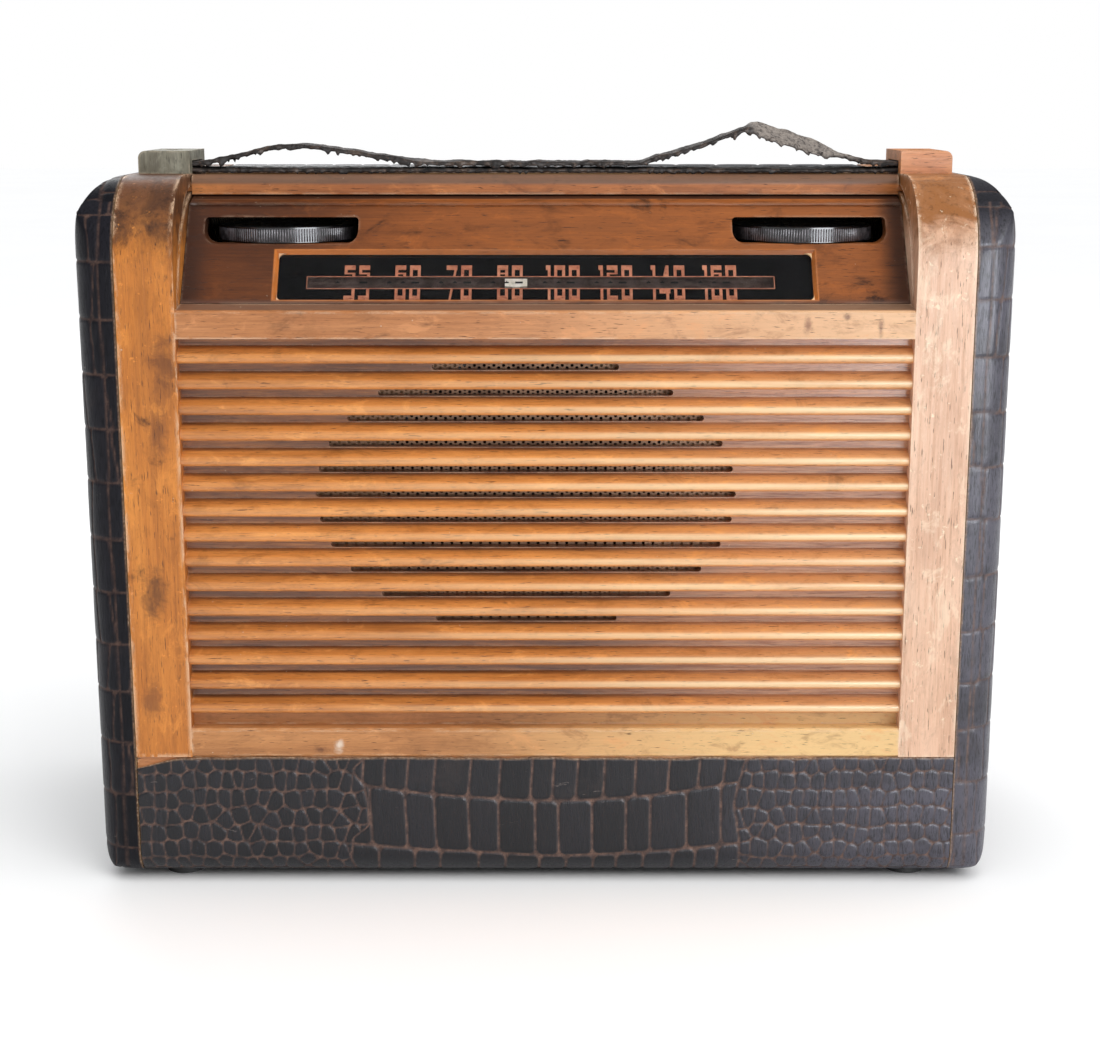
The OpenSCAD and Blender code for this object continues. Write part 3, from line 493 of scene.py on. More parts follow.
M = {
    # front_wood: the tint paints the right part paler, painted light from the right.
    "front_wood": wood("front_wood", *tones("d89662 ba7846 804826"), "X", 1.0, smudge=0.5, chips=0.9,
        worn=0.8, ledge=0.8, tint=(srgb(250, 206, 160), -0.04, 0.16, 0.7),
        spots=[(0.1010, 0.2290, 0.0020, 0.0040, srgb(120, 66, 40)),
        (0.1160, 0.2320, 0.0014, 0.0012, srgb(96, 54, 34)),
        (0.1290, 0.2275, 0.0012, 0.0042, srgb(104, 58, 38))]),
    # bottom_rail: the tint paints the right part paler, painted light from the right.
    "bottom_rail": wood("bottom_rail_wood", *tones("d69860 b87a46 844e26"), "X", 1.6, smudge=0.3,
        chips=0.7, worn=0.8, tint=(srgb(250, 214, 150), -0.06, 0.12, 0.75),
        spots=[(-0.0830, 0.0590, 0.0022, 0.0030, srgb(246, 232, 214)),
        (-0.0905, 0.0575, 0.0030, 0.0014, srgb(84, 44, 26))]),
    "left_stile": wood("left_stile_wood", *tones("e0903e c2722a 763e18"), "Z", 2.0, smudge=0.95,
        chips=0.5, worn=1.0, rub=0.0028, brow=srgb(76, 46, 28),
        spots=[(-0.1545, 0.122, 0.0055, 0.012, srgb(66, 36, 20)),
        (-0.1475, 0.214, 0.0060, 0.013, srgb(92, 50, 26)),
        (-0.1500, 0.186, 0.0035, 0.011, srgb(110, 62, 30)),
        (-0.1575, 0.078, 0.0045, 0.009, srgb(122, 70, 34))]),
    # right_stile: paler, pinker colours than the left stile, a painted sheen of the light from the right.
    "right_stile": wood("right_stile_wood_painted_sheen", *tones("fcd8bc eec0a0 b67e5c"), "Z", 3.0, smudge=0.3,
        chips=0.8, worn=1.0, rub=0.0022, brow=srgb(150, 92, 40)),
    # louvre: the tint paints the right part paler, the nose colour is a painted highlight, and the recess
    # colour is painted shade mixed with dirt.
    "louvre": wood("louvre_wood", *tones("f0a45a d48642 824a26"), "X", 4.0, gloss=0.30, smudge=0.4,
        chips=0.5, worn=0.3, recess=(0.0046, 0.0068, srgb(80, 48, 38), 0.9),
        tint=(srgb(230, 176, 130), -0.02, 0.14, 0.5), nose_highlight=(srgb(255, 224, 176), 0.04, 0.8), coat=0.5,
        shine=0.2),
    # panel: the tint paints the middle and right paler and the shade darkens the left end, painted light and
    # shade.
    "panel": wood("panel_wood", *tones("a05822 743c14 3a1e0f"), "X", 5.0, smudge=0.85, chips=0.45,
        worn=0.2, rim=True, tint=(srgb(168, 100, 50), -0.11, 0.02, 0.3),
        shade=(srgb(58, 31, 18), -0.045, -0.12, 0.62), coat=0.03),
    # crest: dark wood for the top of the panel's rolled edge, a painted shadow of the bead above.
    "crest": wood("crest_wood_painted_shadow", *tones("54301c 3c2216 22140e"), "X", 5.5, smudge=0.8, chips=0.9, worn=0.0,
        coat=0.03),
    "bead": wood("bead_wood", *tones("e29250 b66a36 62361e"), "X", 6.4, smudge=0.6, chips=0.45, worn=0.7,
        coat=0.03, grey_top=True),
    "tambour": wood("tambour_wood", *tones("cc8048 9a582e 502c1a"), "X", 6.0, smudge=0.6, chips=0.45,
        worn=0.7, coat=0.03),
    "ply": wood("plywood", *tones("d4b07e be9664 926a42"), "X", 7.0, gloss=0.62, chips=0.1, worn=0.0),
    "block_left": wood("weathered_block", *tones("b0ae9c 76705e 42362a"), "Z", 8.0, gloss=0.5, smudge=0.7,
        worn=0.6, pores=1.2),
    "block_right": wood("orange_block", *tones("f2a668 dc8c52 7e4828"), "X", 9.0, smudge=0.5, worn=0.3),
    "croc": croc("crocodile_cloth", 0.32, 0.12),
    # A less shiny copy of the cloth for the left end, painted shade for that side.
    "croc_dull_painted_shade": croc("crocodile_cloth_dull_painted_shade", 0.12, 0.03),
    "steel": metal("zinc_steel", srgb(176, 178, 178), srgb(112, 108, 100), 0.38,
        brushed=(160, 2400, 2400)),
    "screen": metal("screen_metal", srgb(176, 136, 104), srgb(110, 80, 60), 0.5, metallic=0.3),
    "aluminium": metal("aluminium", srgb(206, 206, 204), srgb(150, 150, 150), 0.28,
        brushed=(900, 900, 30)),
    "brass": metal("brass", srgb(214, 172, 92), srgb(104, 78, 44), 0.30, stains=0.8),
    "dial_black": plain("dial_black", *tones("060709 0b0c0e 161516"), 0.8, height=0.00003,
        Specular_IOR_Level=0.1),
    "wheel": plain("black_plastic", *tones("0a0a0c 111114 222124"), 0.24, height=0.00003,
        Coat_Weight=0.35, Coat_Roughness=0.12),
    "cone": plain("cone_paper", *tones("262220 38322e 4a423c"), 0.8, height=0.0003, fine=600,
        speck=srgb(120, 108, 90)),
    "card": plain("battery_card", *tones("9e2c21 aa3325 b53e2d"), 0.62, size=30, height=0.00008),
    "paper": plain("band_paper", *tones("c4b080 d8c698 e8dab4"), 0.7, size=50, fine=900, height=0.00006),
    "fibre": plain("antenna_card", *tones("5c3a22 7a5030 926642"), 0.66, size=40, fine=1400,
        height=0.0001),
    "canvas": plain("canvas", *tones("786850 9c8a6c b2a284"), 0.85, height=0.0002, weave=330),
    "thread": plain("cord_thread", *tones("a08c68 c8b894 ded2b4"), 0.8, weave=900),
    "ivory": plain("pointer_ivory", *tones("cec6b2 e2dccc f0ece2"), 0.45, height=0.00004),
    "copper": plain("dial_copper", *tones("b0684a ce8462 e29e7c"), 0.4, size=180, height=0.00003),
    "tan_scale": plain("dial_scale", *tones("463a36 5c4e48 706058"), 0.6, size=160),
    "ink": plain("dial_ink", *tones("0c0b0b 121111 1a1818"), 0.5),
    "rubber": plain("rubber", *tones("141414 1e1d1c 2c2a28"), 0.7, height=0.0002, speck=srgb(92, 88, 82)),
    "varnish": plain("coil_wire", *tones("6e3614 9c5420 ba7034"), 0.35, fine=2000, weave=1400),
}


def glass(name, tint, rough, index=1.5):
    m = Mat(name)
    smear = m.cloud(70, 5, 0.7, 1.0)
    dust = m.cloud(900, 3, 0.6)
    m.set(Base_Color=m.mix(tint, tone_of(tint, 0.86), m.range(dust, 0.5, 0.7)),
          Roughness=m.range(smear, 0.45, 0.75, rough, rough + 0.05),
          Transmission_Weight=1.0, IOR=index)
    m.bump(smear, 0.00002, 0.25)
    return m.mat


M["strap"] = strap_leather("strap_leather")
M["knurl"] = knurl("knurled_rim_painted_highlight")
M["dial_glass"] = glass("dial_glass", (0.95, 0.93, 0.92), 0.01, 1.22)
M["tube_glass"] = glass("tube_glass", (0.92, 0.95, 0.94), 0.03)

LOOKS = {
    "ply": "left_end_panel right_end_panel base_board rear_top_board speaker_baffle back_door",
    "front_wood": "front_apron_board cross_rail",
    "left_stile": "left_stile",
    "right_stile": "right_stile",
    "bottom_rail": "bottom_rail",
    "louvre": "grille_slats_plain",
    "screen": "perforated_screen",
    "steel": "speaker_frame output_transformer chassis_pan handle_screws",
    "cone": "speaker_cone",
    "panel": "dial_panel",
    "dial_glass": "dial_glass",
    "tan_scale": "dial_pan",
    "thread": "dial_cord",
    "ivory": "dial_pointer",
    "tube_glass": "vacuum_tubes",
    "aluminium": "shield_cans volume_control capacitor_frame capacitor_rotor",
    "wheel": "volume_wheel tuning_wheel",
    "card": "battery_pack",
    "bead": "tambour_bead",
    "tambour": "tambour_slats",
    "canvas": "tambour_canvas",
    "block_left": "left_handle_block",
    "block_right": "right_handle_block",
    "strap": "strap_lower_layer strap_upper_layer",
    "rubber": "feet cord_grommet",
    "brass": "cabinet_door_hardware door_hardware",
    "croc": "leatherette_door leatherette_left leatherette_right leatherette_apron "
            "leatherette_top",
    "fibre": "loop_antenna",
}
look = {node: key for key, names in LOOKS.items() for node in names.split()}
for k in range(2, 13):
    look[f"grille_slat_{k:02d}"] = "louvre"
for name, o in nodes.items():
    o.data.materials.clear()
    o.data.materials.append(M[look[name]])


# ---------------------------------------------------------------- croc covering

def rounded_cell(du, dv, r):
    """Distance inside a rounded rectangle from its distances to two sides."""
    a, b = np.maximum(r - du, 0), np.maximum(r - dv, 0)
    return np.where((a > 0) & (b > 0), r - np.hypot(a, b), np.minimum(du, dv))


def row_cells(u, v, row_edges, width, seed, r=2.2, bend=1.2):
    """Rows of staggered scales; returns the distance from each scale's edge and a number per scale."""
    gen = np.random.default_rng(seed)
    uu = u + bend * wobble2(u, v, 26, 17, seed) * 0.5
    vv = v + bend * wobble2(u, v, 34, 30, seed + 1)
    row = np.clip(np.searchsorted(row_edges, vv) - 1, 0, len(row_edges) - 2)
    dv = np.minimum(vv - row_edges[row], row_edges[row + 1] - vv)
    du, cell = np.zeros_like(u), np.zeros_like(u)
    lo, hi = uu.min() - 3, uu.max() + 3
    for k in range(len(row_edges) - 1):
        pick = row == k
        w = width(k) if callable(width) else width
        edges = lo - w * gen.random() + np.cumsum(w * gen.uniform(0.72, 1.28, int((hi - lo) / w * 1.6) + 4))
        edges = np.concatenate([[lo - 2 * w], edges])
        tilt = uu[pick] + (vv[pick] - row_edges[k]) * gen.uniform(-0.12, 0.12)
        i = np.clip(np.searchsorted(edges, tilt) - 1, 0, len(edges) - 2)
        du[pick] = np.minimum(tilt - edges[i], edges[i + 1] - tilt)
        cell[pick] = (i * 37 + k * 101) % 97 / 97
    return rounded_cell(np.maximum(du, 0), np.maximum(dv, 0), r), cell


def pebble_cells(u, v, du, dv, seed, jitter=0.30):
    """Small oval scales: seeds in staggered rows, shared out by nearness."""
    gen = np.random.default_rng(seed)
    seeds = []
    rows = int((v.max() - v.min()) / dv) + 4
    for k in range(rows):
        x = u.min() - 2 * du + (k % 2) * du / 2
        while x < u.max() + 2 * du:
            seeds.append((x + gen.normal() * jitter * du * 0.5,
                          v.min() - dv + k * dv + gen.normal() * jitter * dv * 0.5))
            x += du * gen.uniform(0.8, 1.25)
    seeds = np.array(seeds)
    tree = KDTree(len(seeds))
    for i, (x, y) in enumerate(seeds):
        tree.insert((x / du, y / dv, 0), i)
    tree.balance()
    d, cell = np.zeros(len(u)), np.zeros(len(u))
    for i in range(len(u)):
        near = tree.find_n((u[i] / du, v[i] / dv, 0), 4)
        a = seeds[near[0][1]]
        soft = 0.0
        for _, j, _ in near[1:]:
            b = seeds[j]
            gap = b - a
            length = math.hypot(gap[0], gap[1])
            mid = (a + b) / 2
            side = ((mid[0] - u[i]) * gap[0] + (mid[1] - v[i]) * gap[1]) / length
            soft += math.exp(-2.2 * side)
        d[i] = -math.log(soft) / 2.2 + 0.25
        cell[i] = near[0][1] * 37 % 97 / 97
    return d, cell


def emboss(d, depth=0.42):
    """Height of the embossing in mm from the distance to a scale's edge."""
    return depth * (smooth(-0.1, 0.95, d) - 1) + 0.16 * (1 - np.exp(-np.maximum(d, 0) / 3.0))


def groove_of(d):
    return 1 - smooth(0.12, 0.72, d)


def make_apron():
    """A sheet that runs under the stiles' feet, round the toe and under the case."""
    lo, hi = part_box("leatherette_apron")
    x0, x1, z0, z1 = lo.x * 1e3, hi.x * 1e3, lo.z * 1e3, hi.z * 1e3
    y0, y1 = lo.y * 1e3, hi.y * 1e3
    toe = 12.0  # radius of the rounding at the foot
    step = 0.55
    xs = np.arange(x0, x1 + step / 2, step)
    xs[-1] = x1
    face = z1 - z0 - toe
    under = max(y1 - y0 - toe, 1.0)
    arc = toe * math.pi / 2
    s = np.concatenate([np.arange(0, face + arc, step), np.arange(face + arc, face + arc + under, 3.0)])
    X, S = np.meshgrid(xs, s, indexing="ij")
    X, S = X.ravel(), S.ravel()
    V = z1 - S
    # three rows of large scales in the middle third, pebbles at both sides
    big_half = 78  # half width of the large scales
    bow = 7.5 * (X / big_half) ** 2
    rows = np.stack([V * 0 + 62, 35.5 + bow, 12.2 + 0.6 * bow, V * 0 - 14, V * 0 - 40])
    level = np.full_like(V, 0.0)
    for k in range(4):
        inside = (V <= rows[k]) & (V > rows[k + 1])
        level[inside] = (k + (rows[k] - V) / (rows[k] - rows[k + 1]))[inside] * 22
    level[V <= rows[4]] = 88 + (rows[4] - V)[V <= rows[4]]
    widths = (12.5, 11.8, 13.0, 12.5)
    big, cell_a = row_cells(X, level, np.arange(-22, 200, 22.0), lambda k: widths[k % 4], 21, r=2.6, bend=0.9)
    side = np.abs(X - 2) > 66
    small, cell_b = np.full(len(X), 5.0), cell_a.copy()
    a, b = pebble_cells(X[side] + 3.0 * wobble2(X[side], V[side], 60, 40, 8), V[side], 5.4, 7.4, 22)
    small[side], cell_b[side] = a, b
    border = np.abs(X - 2) - (big_half + 6.5 * wobble2(V, X * 0 + np.sign(X), 7.5, 0.9, 5))
    d = np.where(border < 0, np.minimum(big, -border), np.minimum(small, border))
    cell = np.where(border < 0, cell_a, cell_b)
    h = emboss(d) + 0.05 * wobble2(X, V, 1.3, 8, 3)
    ragged = 0.55 * wobble2(X, V * 0, 2.3, 1, 31) + 0.9 * wobble2(X, V * 0, 13, 1, 32)
    dip = 3.6 * smooth(-146, -166, X) + 0.6 * smooth(-128, -150, X)
    cut = np.where(S < 6, (1 - S / 6) * (np.maximum(ragged, -0.4) * 0.5 + 0.35 + dip), 0)
    S2 = S + cut
    raw = smooth(0.9, 0.1, S) * (0.7 + 0.3 * wobble2(X, V, 1.1, 1, 33))
    h = h * smooth(0.0, 1.2, S) - 0.15 * (1 - smooth(0, 0.8, S))
    a = np.clip((S2 - face) / arc, 0, 1) * math.pi / 2
    Z = np.where(S2 < face, z1 - S2, z0 + toe - toe * np.sin(a))
    Y = np.where(S2 < face, y0, y0 + toe - toe * np.cos(a))
    Y = np.where(S2 > face + arc, y0 + toe + (S2 - face - arc), Y)
    ny, nz = -np.cos(a), -np.sin(a)
    P = np.stack([X, Y + ny * h, Z + nz * h], 1)
    n, m = len(xs), len(s)
    verts = [P]
    faces = [grid_faces(n, m)]
    # the cut edge along the top, turned back to the board
    rim = P.reshape(n, m, 3)[:, 0].copy()
    back = rim + [0, 1.15, -0.1]
    verts.append(back)
    base = n * m
    i = np.arange(n - 1)
    faces.append(np.stack([i * m, base + i, base + i + 1, (i + 1) * m], 1))
    faces = np.concatenate([f[:, ::-1] for f in faces])
    extra = np.zeros(n)
    o = new_mesh("apron_covering", np.concatenate(verts) * 1e-3, faces, M["croc"], values={
        "groove": np.concatenate([groove_of(d), extra]), "tone": np.concatenate([cell, extra]),
        "raw": np.concatenate([np.clip(raw, 0, 1), extra + 1])})
    return place(o, "cabinet", "leatherette_apron", slot="leatherette")


def outward(p, solids):
    """Distance and gradient of a convex body given by such functions of points."""
    best, grad = solids[0](p)
    for f in solids[1:]:
        d, g = f(p)
        take = d > best
        best, grad = np.where(take, d, best), np.where(take[:, None], g, grad)
    return best, grad


def round_rect(axes, lo, hi, radii):
    """A rounded rectangle in two axes; radii as pairs, in the order (lo,lo), (hi,lo), (lo,hi), (hi,hi)."""
    i, j = axes
    radii = np.array(radii, float)

    def f(p):
        u, v = p[:, i], p[:, j]
        left, low = u < (lo[0] + hi[0]) / 2, v < (lo[1] + hi[1]) / 2
        r = radii[np.where(left, 0, 1) + np.where(low, 0, 2)]
        su, sv = np.where(left, -1.0, 1.0), np.where(low, -1.0, 1.0)
        du = np.where(left, lo[0] - u, u - hi[0])
        dv = np.where(low, lo[1] - v, v - hi[1])
        qu, qv = (du + r[:, 0]) / r[:, 0], (dv + r[:, 1]) / r[:, 1]
        corner = (qu > 0) & (qv > 0)
        length = np.maximum(np.hypot(qu, qv), 1e-9)
        gu, gv = qu / length / r[:, 0], qv / length / r[:, 1]
        slope = np.maximum(np.hypot(gu, gv), 1e-9)
        d = np.where(corner, (length - 1) / slope, np.maximum(du, dv))
        gu = np.where(corner, gu / slope, np.where(du >= dv, 1.0, 0.0)) * su
        gv = np.where(corner, gv / slope, np.where(du >= dv, 0.0, 1.0)) * sv
        g = np.zeros_like(p)
        g[:, i], g[:, j] = gu, gv
        return d, g
    return f


def vertex_normals(p, f):
    n = np.cross(p[f[:, 2]] - p[f[:, 0]], p[f[:, 3]] - p[f[:, 1]])
    out = np.zeros_like(p)
    for k in range(4):
        for c in range(3):
            out[:, c] += np.bincount(f[:, k], n[:, c], len(p))
    return out / np.maximum(np.linalg.norm(out, axis=1), 1e-12)[:, None]


def relax(p, f, fixed, rounds):
    """Softens ridges by moving each point towards the middle of its neighbours."""
    a = np.concatenate([f[:, k] for k in range(4)] + [f[:, (k + 1) % 4] for k in range(4)])
    b = np.concatenate([f[:, (k + 1) % 4] for k in range(4)] + [f[:, k] for k in range(4)])
    count = np.maximum(np.bincount(a, minlength=len(p)), 1)
    for _ in range(rounds):
        mid = np.stack([np.bincount(a, p[b, c], len(p)) / count for c in range(3)], 1)
        p = np.where(fixed[:, None], p, p + 0.6 * (mid - p))
    return p


def make_end(side):
    """Covering of one end: front strip, outer side, back strip, top and bottom in one skin."""
    node = "leatherette_left" if side < 0 else "leatherette_right"
    lo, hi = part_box(node)
    y0, y1, z0, z1 = lo.y * 1e3, hi.y * 1e3, lo.z * 1e3, hi.z * 1e3
    out = max(abs(lo.x), abs(hi.x)) * 1e3
    inn = min(abs(lo.x), abs(hi.x)) * 1e3
    tiny = (0.01, 0.01)
    solids = [round_rect((1, 2), (y0, z0), (y1, z1), ((12, 12), (6, 6), (32, 32), (6, 6))),
              round_rect((0, 1), (-500, y0), (out, y1), (tiny, (14, 14), tiny, (6, 6))),
              round_rect((0, 2), (-500, z0), (out, z1), (tiny, (14, 14), tiny, (16.5, 29)))]
    step = 0.85
    xs = np.linspace(inn, out, int((out - inn) / step) + 1)
    ys = np.linspace(y0, y1, int((y1 - y0) / step) + 1)
    zs = np.linspace(z0, z1, int((z1 - z0) / step) + 1)
    P, U, V, F, start = [], [], [], [], 0

    def patch(a, b, make, uv, flip):
        nonlocal start
        A, B = np.meshgrid(a, b, indexing="ij")
        A, B = A.ravel(), B.ravel()
        P.append(make(A, B))
        u, v = uv(A, B)
        U.append(u)
        V.append(v)
        F.append(grid_faces(len(a), len(b), start=start, flip=flip))
        start += len(A)

    one = np.ones_like
    patch(ys, zs, lambda a, b: np.stack([one(a) * out, a, b], 1), lambda a, b: (a, b), False)
    patch(xs, zs, lambda a, b: np.stack([a, one(a) * y0, b], 1), lambda a, b: (y0 - (out - a), b), False)
    patch(xs, zs, lambda a, b: np.stack([a, one(a) * y1, b], 1), lambda a, b: (y1 + (out - a), b), True)
    patch(xs, ys, lambda a, b: np.stack([a, b, one(a) * z1], 1), lambda a, b: (b, z1 + (out - a)), False)
    patch(xs, ys, lambda a, b: np.stack([a, b, one(a) * z0], 1), lambda a, b: (b, z0 - (out - a)), True)
    P, U, V, F = np.concatenate(P), np.concatenate(U), np.concatenate(V), np.concatenate(F)
    # weld the patches where they meet
    _, first, back = np.unique(np.round(P, 3), axis=0, return_index=True, return_inverse=True)
    P, U, V, F = P[first], U[first], V[first], back.ravel()[F]
    rim = np.abs(P[:, 0] - inn) < 1e-6
    for _ in range(16):
        d, g = outward(P, solids)
        P = P - d[:, None] * g
        P[:, 0] = np.where(rim, inn, P[:, 0])
    P = relax(P, F, rim, 14)
    edges = np.arange(-30, 330, 21.5) + (3 if side < 0 else 9)
    d, cell = row_cells(U, V, edges, 15.5, 40 + side, r=2.4, bend=2.0)
    strip = np.abs(P[:, 0] - inn) < 17
    seam = np.abs(U - (y0 - 11.0) - 0.6 * wobble2(V, U, 30, 99, 3))
    plain_row = (U < y0 - 0.5) & (U > y0 - 10.4) | (U < y0 - 11.6)
    d = np.where(plain_row & strip, np.maximum(d, 0), d)
    d = np.minimum(d, seam)
    near = smooth(4.5, 0.0, P[:, 0] - inn)
    raw = smooth(0.9, 0.2, P[:, 0] - inn) * (0.55 + 0.45 * wobble(P, 1.6, 4))
    normal = vertex_normals(P, F)
    if normal[np.argmax(P[:, 0])][0] < 0:
        normal, F = -normal, F[:, ::-1]
    P = P + normal * (emboss(d, 0.34) * (1 - 0.6 * near))[:, None]
    P[:, 0] = np.maximum(P[:, 0], inn)
    if side < 0:
        P[:, 0] *= -1
        F = F[:, ::-1]
    # The left end gets the dull copy and fainter groove lines: painted shade on that side.
    o = new_mesh("end_covering_left" if side < 0 else "end_covering_right", P * 1e-3, F,
                 M["croc_dull_painted_shade" if side < 0 else "croc"],
                 values={"groove": groove_of(d) * (0.5 if side < 0 else 0.75), "tone": cell,
                         "raw": np.clip(raw, 0, 1)})
    return place(o, "cabinet", node, slot="leatherette")


def make_sheet(node, name, body, across, rise, seed, hole=None):
    """A flat covered panel: across and rise are the axes of its face, the third one points outward."""
    lo, hi = (np.array(c) * 1e3 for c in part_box(node))
    face = 3 - across - rise
    u = np.arange(lo[across], hi[across] + 0.4, 1.0)
    v = np.arange(lo[rise], hi[rise] + 0.4, 1.0)
    u[-1], v[-1] = hi[across], hi[rise]
    u, v = np.concatenate([[u[0]], u, [u[-1]]]), np.concatenate([[v[0]], v, [v[-1]]])
    U, V = np.meshgrid(u, v, indexing="ij")
    rim = np.zeros(U.shape, bool)
    rim[[0, -1]] = rim[:, [0, -1]] = True
    U, V, rim = U.ravel(), V.ravel(), rim.ravel()
    d, cell = row_cells(U, V, np.arange(v[0] - 30, v[-1] + 40, 22.0), 16.0, seed, r=2.6, bend=2.2)
    inset = np.minimum(np.minimum(U - u[0], u[-1] - U), np.minimum(V - v[0], v[-1] - V))
    h = emboss(d) - 0.7 * smooth(2.2, 0.0, inset)
    P = np.zeros((len(U), 3))
    P[:, across], P[:, rise] = U, V
    P[:, face] = np.where(rim, lo[face] + 0.02, hi[face] + h)
    f = grid_faces(len(u), len(v), flip=(face == 1))
    if hole:
        mid = P[f].mean(1)
        f = f[np.hypot(mid[:, across] - hole[0], mid[:, rise] - hole[1]) > hole[2]]
    raw = smooth(0.9, 0.2, inset) * (0.5 + 0.5 * wobble(P, 1.6, seed))
    o = new_mesh(name, P * 1e-3, f, M["croc"], values={
        "groove": groove_of(d) * 0.85, "tone": cell, "raw": np.clip(raw, 0, 1)})
    return place(o, body, node, slot="leatherette")


make_apron()
make_end(-1)
make_end(1)
grommet = [(a + b) * 500 for a, b in zip(*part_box("cord_grommet"))]
make_sheet("leatherette_door", "door_covering", "rear_door", 0, 2, 70, (grommet[0], grommet[2], 8.2))
make_sheet("leatherette_top", "top_covering", "cabinet", 0, 1, 75)

# ---------------------------------------------------------------- dial

def on_panel(x, d, s):
    """Panel place (X, depth into it, height up its slope) in mm to the frame's metres."""
    return (x * 1e-3, FRONT + (PANEL_D + d * math.cos(LEAN) + s * math.sin(LEAN)) * 1e-3,
            (PANEL_Z + s * math.cos(LEAN) - d * math.sin(LEAN)) * 1e-3)


BAR = (-93.6, 89.9, 8.6, 13.8)
WINDOW = (-104.9, 104.9, 1.7, 23.0)
GLASS_BACK = 3.2


def flat_boxes(rects, d0, d1):
    return [((x0, d0, s0), (x1, d1, s1)) for x0, x1, s0, s1 in rects if x1 > x0 and s1 > s0]


def digit(ch):
    """Strokes of one blocky digit, 16 by 4.25 mm, as (x at the foot, x at the head, width, from, to)."""
    w, t, h, cap = 4.25, 1.15, 16.0, 2.1
    m0, m1 = 11.9, 12.6
    bar = lambda x0, x1, a, b: (x0, x0, x1 - x0, a, b)
    left = lambda a, b: bar(0, t, a, b)
    right = lambda a, b: bar(w - t, w, a, b)
    top, foot, mid = bar(0, w, h - cap, h), bar(0, w, 0, cap), bar(0, w, m0, m1)
    return {
        "0": [top, foot, left(cap, h - cap), right(cap, h - cap)],
        "1": [bar(0.75, 1.8, 0, h), bar(0, 0.75, h - cap, h)],
        "2": [top, foot, mid, right(m1, h - cap), left(cap, m0)],
        "4": [(0.4, 2.6, t, 5.2, h), bar(2.6, 2.6 + t, 0, h), bar(0, w, 3.1, 5.2)],
        "5": [top, foot, mid, left(m1, h - cap), right(cap, m0)],
        "6": [top, foot, mid, left(cap, m0), left(m1, h - cap), right(cap, m0)],
        "7": [top, (0.9, 3.1, 0.9, 0, h - cap)],
        "8": [top, foot, mid, left(cap, m0), right(cap, m0), left(m1, h - cap), right(m1, h - cap)],
    }[ch]


def clipped(strokes, lo, hi):
    """The part of each stroke between two heights, as (x0, x1, x2, x3, low, high)."""
    out = []
    for a, b, w, s0, s1 in strokes:
        c0, c1 = max(s0, lo), min(s1, hi)
        if c1 - c0 > 0.02:
            x0, x1 = (a + (b - a) * (c - s0) / (s1 - s0) for c in (c0, c1))
            out.append((x0, x0 + w, x1, x1 + w, c0, c1))
    return out


numeral_v, numeral_f = [], []
for text, x in (("55", -74.1), ("60", -54.1), ("70", -33.9), ("80", -13.9), ("100", 6.9), ("120", 27.6),
                ("140", 48.2), ("160", 68.6)):
    widths = [1.8 if ch == "1" else 4.25 for ch in text]
    left = x - (sum(widths) + 1.5 * (len(text) - 1)) / 2
    for ch, w in zip(text, widths):
        strokes = [(left + a, left + b, t, 3.1 + c, 3.1 + e) for a, b, t, c, e in digit(ch)]
        left += w + 1.5
        for a, b, c, e, s0, s1 in clipped(strokes, 0, BAR[2] - 0.3) + clipped(strokes, BAR[3] + 0.3, 30):
            k = len(numeral_v)
            for d in (GLASS_BACK + 0.02, GLASS_BACK + 0.05):
                numeral_v += [on_panel(a, d, s0), on_panel(b, d, s0), on_panel(e, d, s1), on_panel(c, d, s1)]
            numeral_f += [[k, k + 1, k + 2, k + 3], [k + 7, k + 6, k + 5, k + 4]]
            numeral_f += [[k + q, k + (q + 1) % 4, k + 4 + (q + 1) % 4, k + 4 + q][::-1] for q in range(4)]
place(new_mesh("dial_numerals", numeral_v, numeral_f, M["copper"], False), "cabinet", slot="pointer")
bx0, bx1, bs0, bs1 = BAR
wx0, wx1, ws0, ws1 = WINDOW
place(boxes_mesh("dial_blacking", flat_boxes([
    (wx0, wx1, ws0, bs0), (wx0, wx1, bs1, ws1), (wx0, bx0, bs0, bs1), (bx1, wx1, bs0, bs1)],
    GLASS_BACK + 0.08, GLASS_BACK + 0.12), M["dial_black"], on_panel), "cabinet", slot="dial_black")
lw = 0.32
place(boxes_mesh("dial_outline", flat_boxes([
    (bx0 - lw, bx1 + lw, bs0 - lw, bs0), (bx0 - lw, bx1 + lw, bs1, bs1 + lw), (bx0 - lw, bx0, bs0, bs1),
    (bx1, bx1 + lw, bs0, bs1)], GLASS_BACK + 0.02, GLASS_BACK + 0.06), M["copper"], on_panel),
    "cabinet", slot="pointer")
ticks = []
mid_s = (bs0 + bs1) / 2
for i, x in enumerate(np.linspace(-71.5, 71.2, 8)):
    ticks.append((x - 1.5, x + 1.5, mid_s - 0.42, mid_s + 0.42))
    for k, off in enumerate((-10.2, -4.8)):
        if i or k == 0:
            ticks.append((x + off - 0.8, x + off + 0.8, mid_s - 0.3, mid_s + 0.3))
            ticks.append((x + off - 0.25, x + off + 0.25, mid_s + 0.3, mid_s + 0.7))
place(boxes_mesh("dial_ticks", flat_boxes(ticks, GLASS_BACK + 0.02, GLASS_BACK + 0.05), M["ink"], on_panel),
      "cabinet", slot="dial_black")


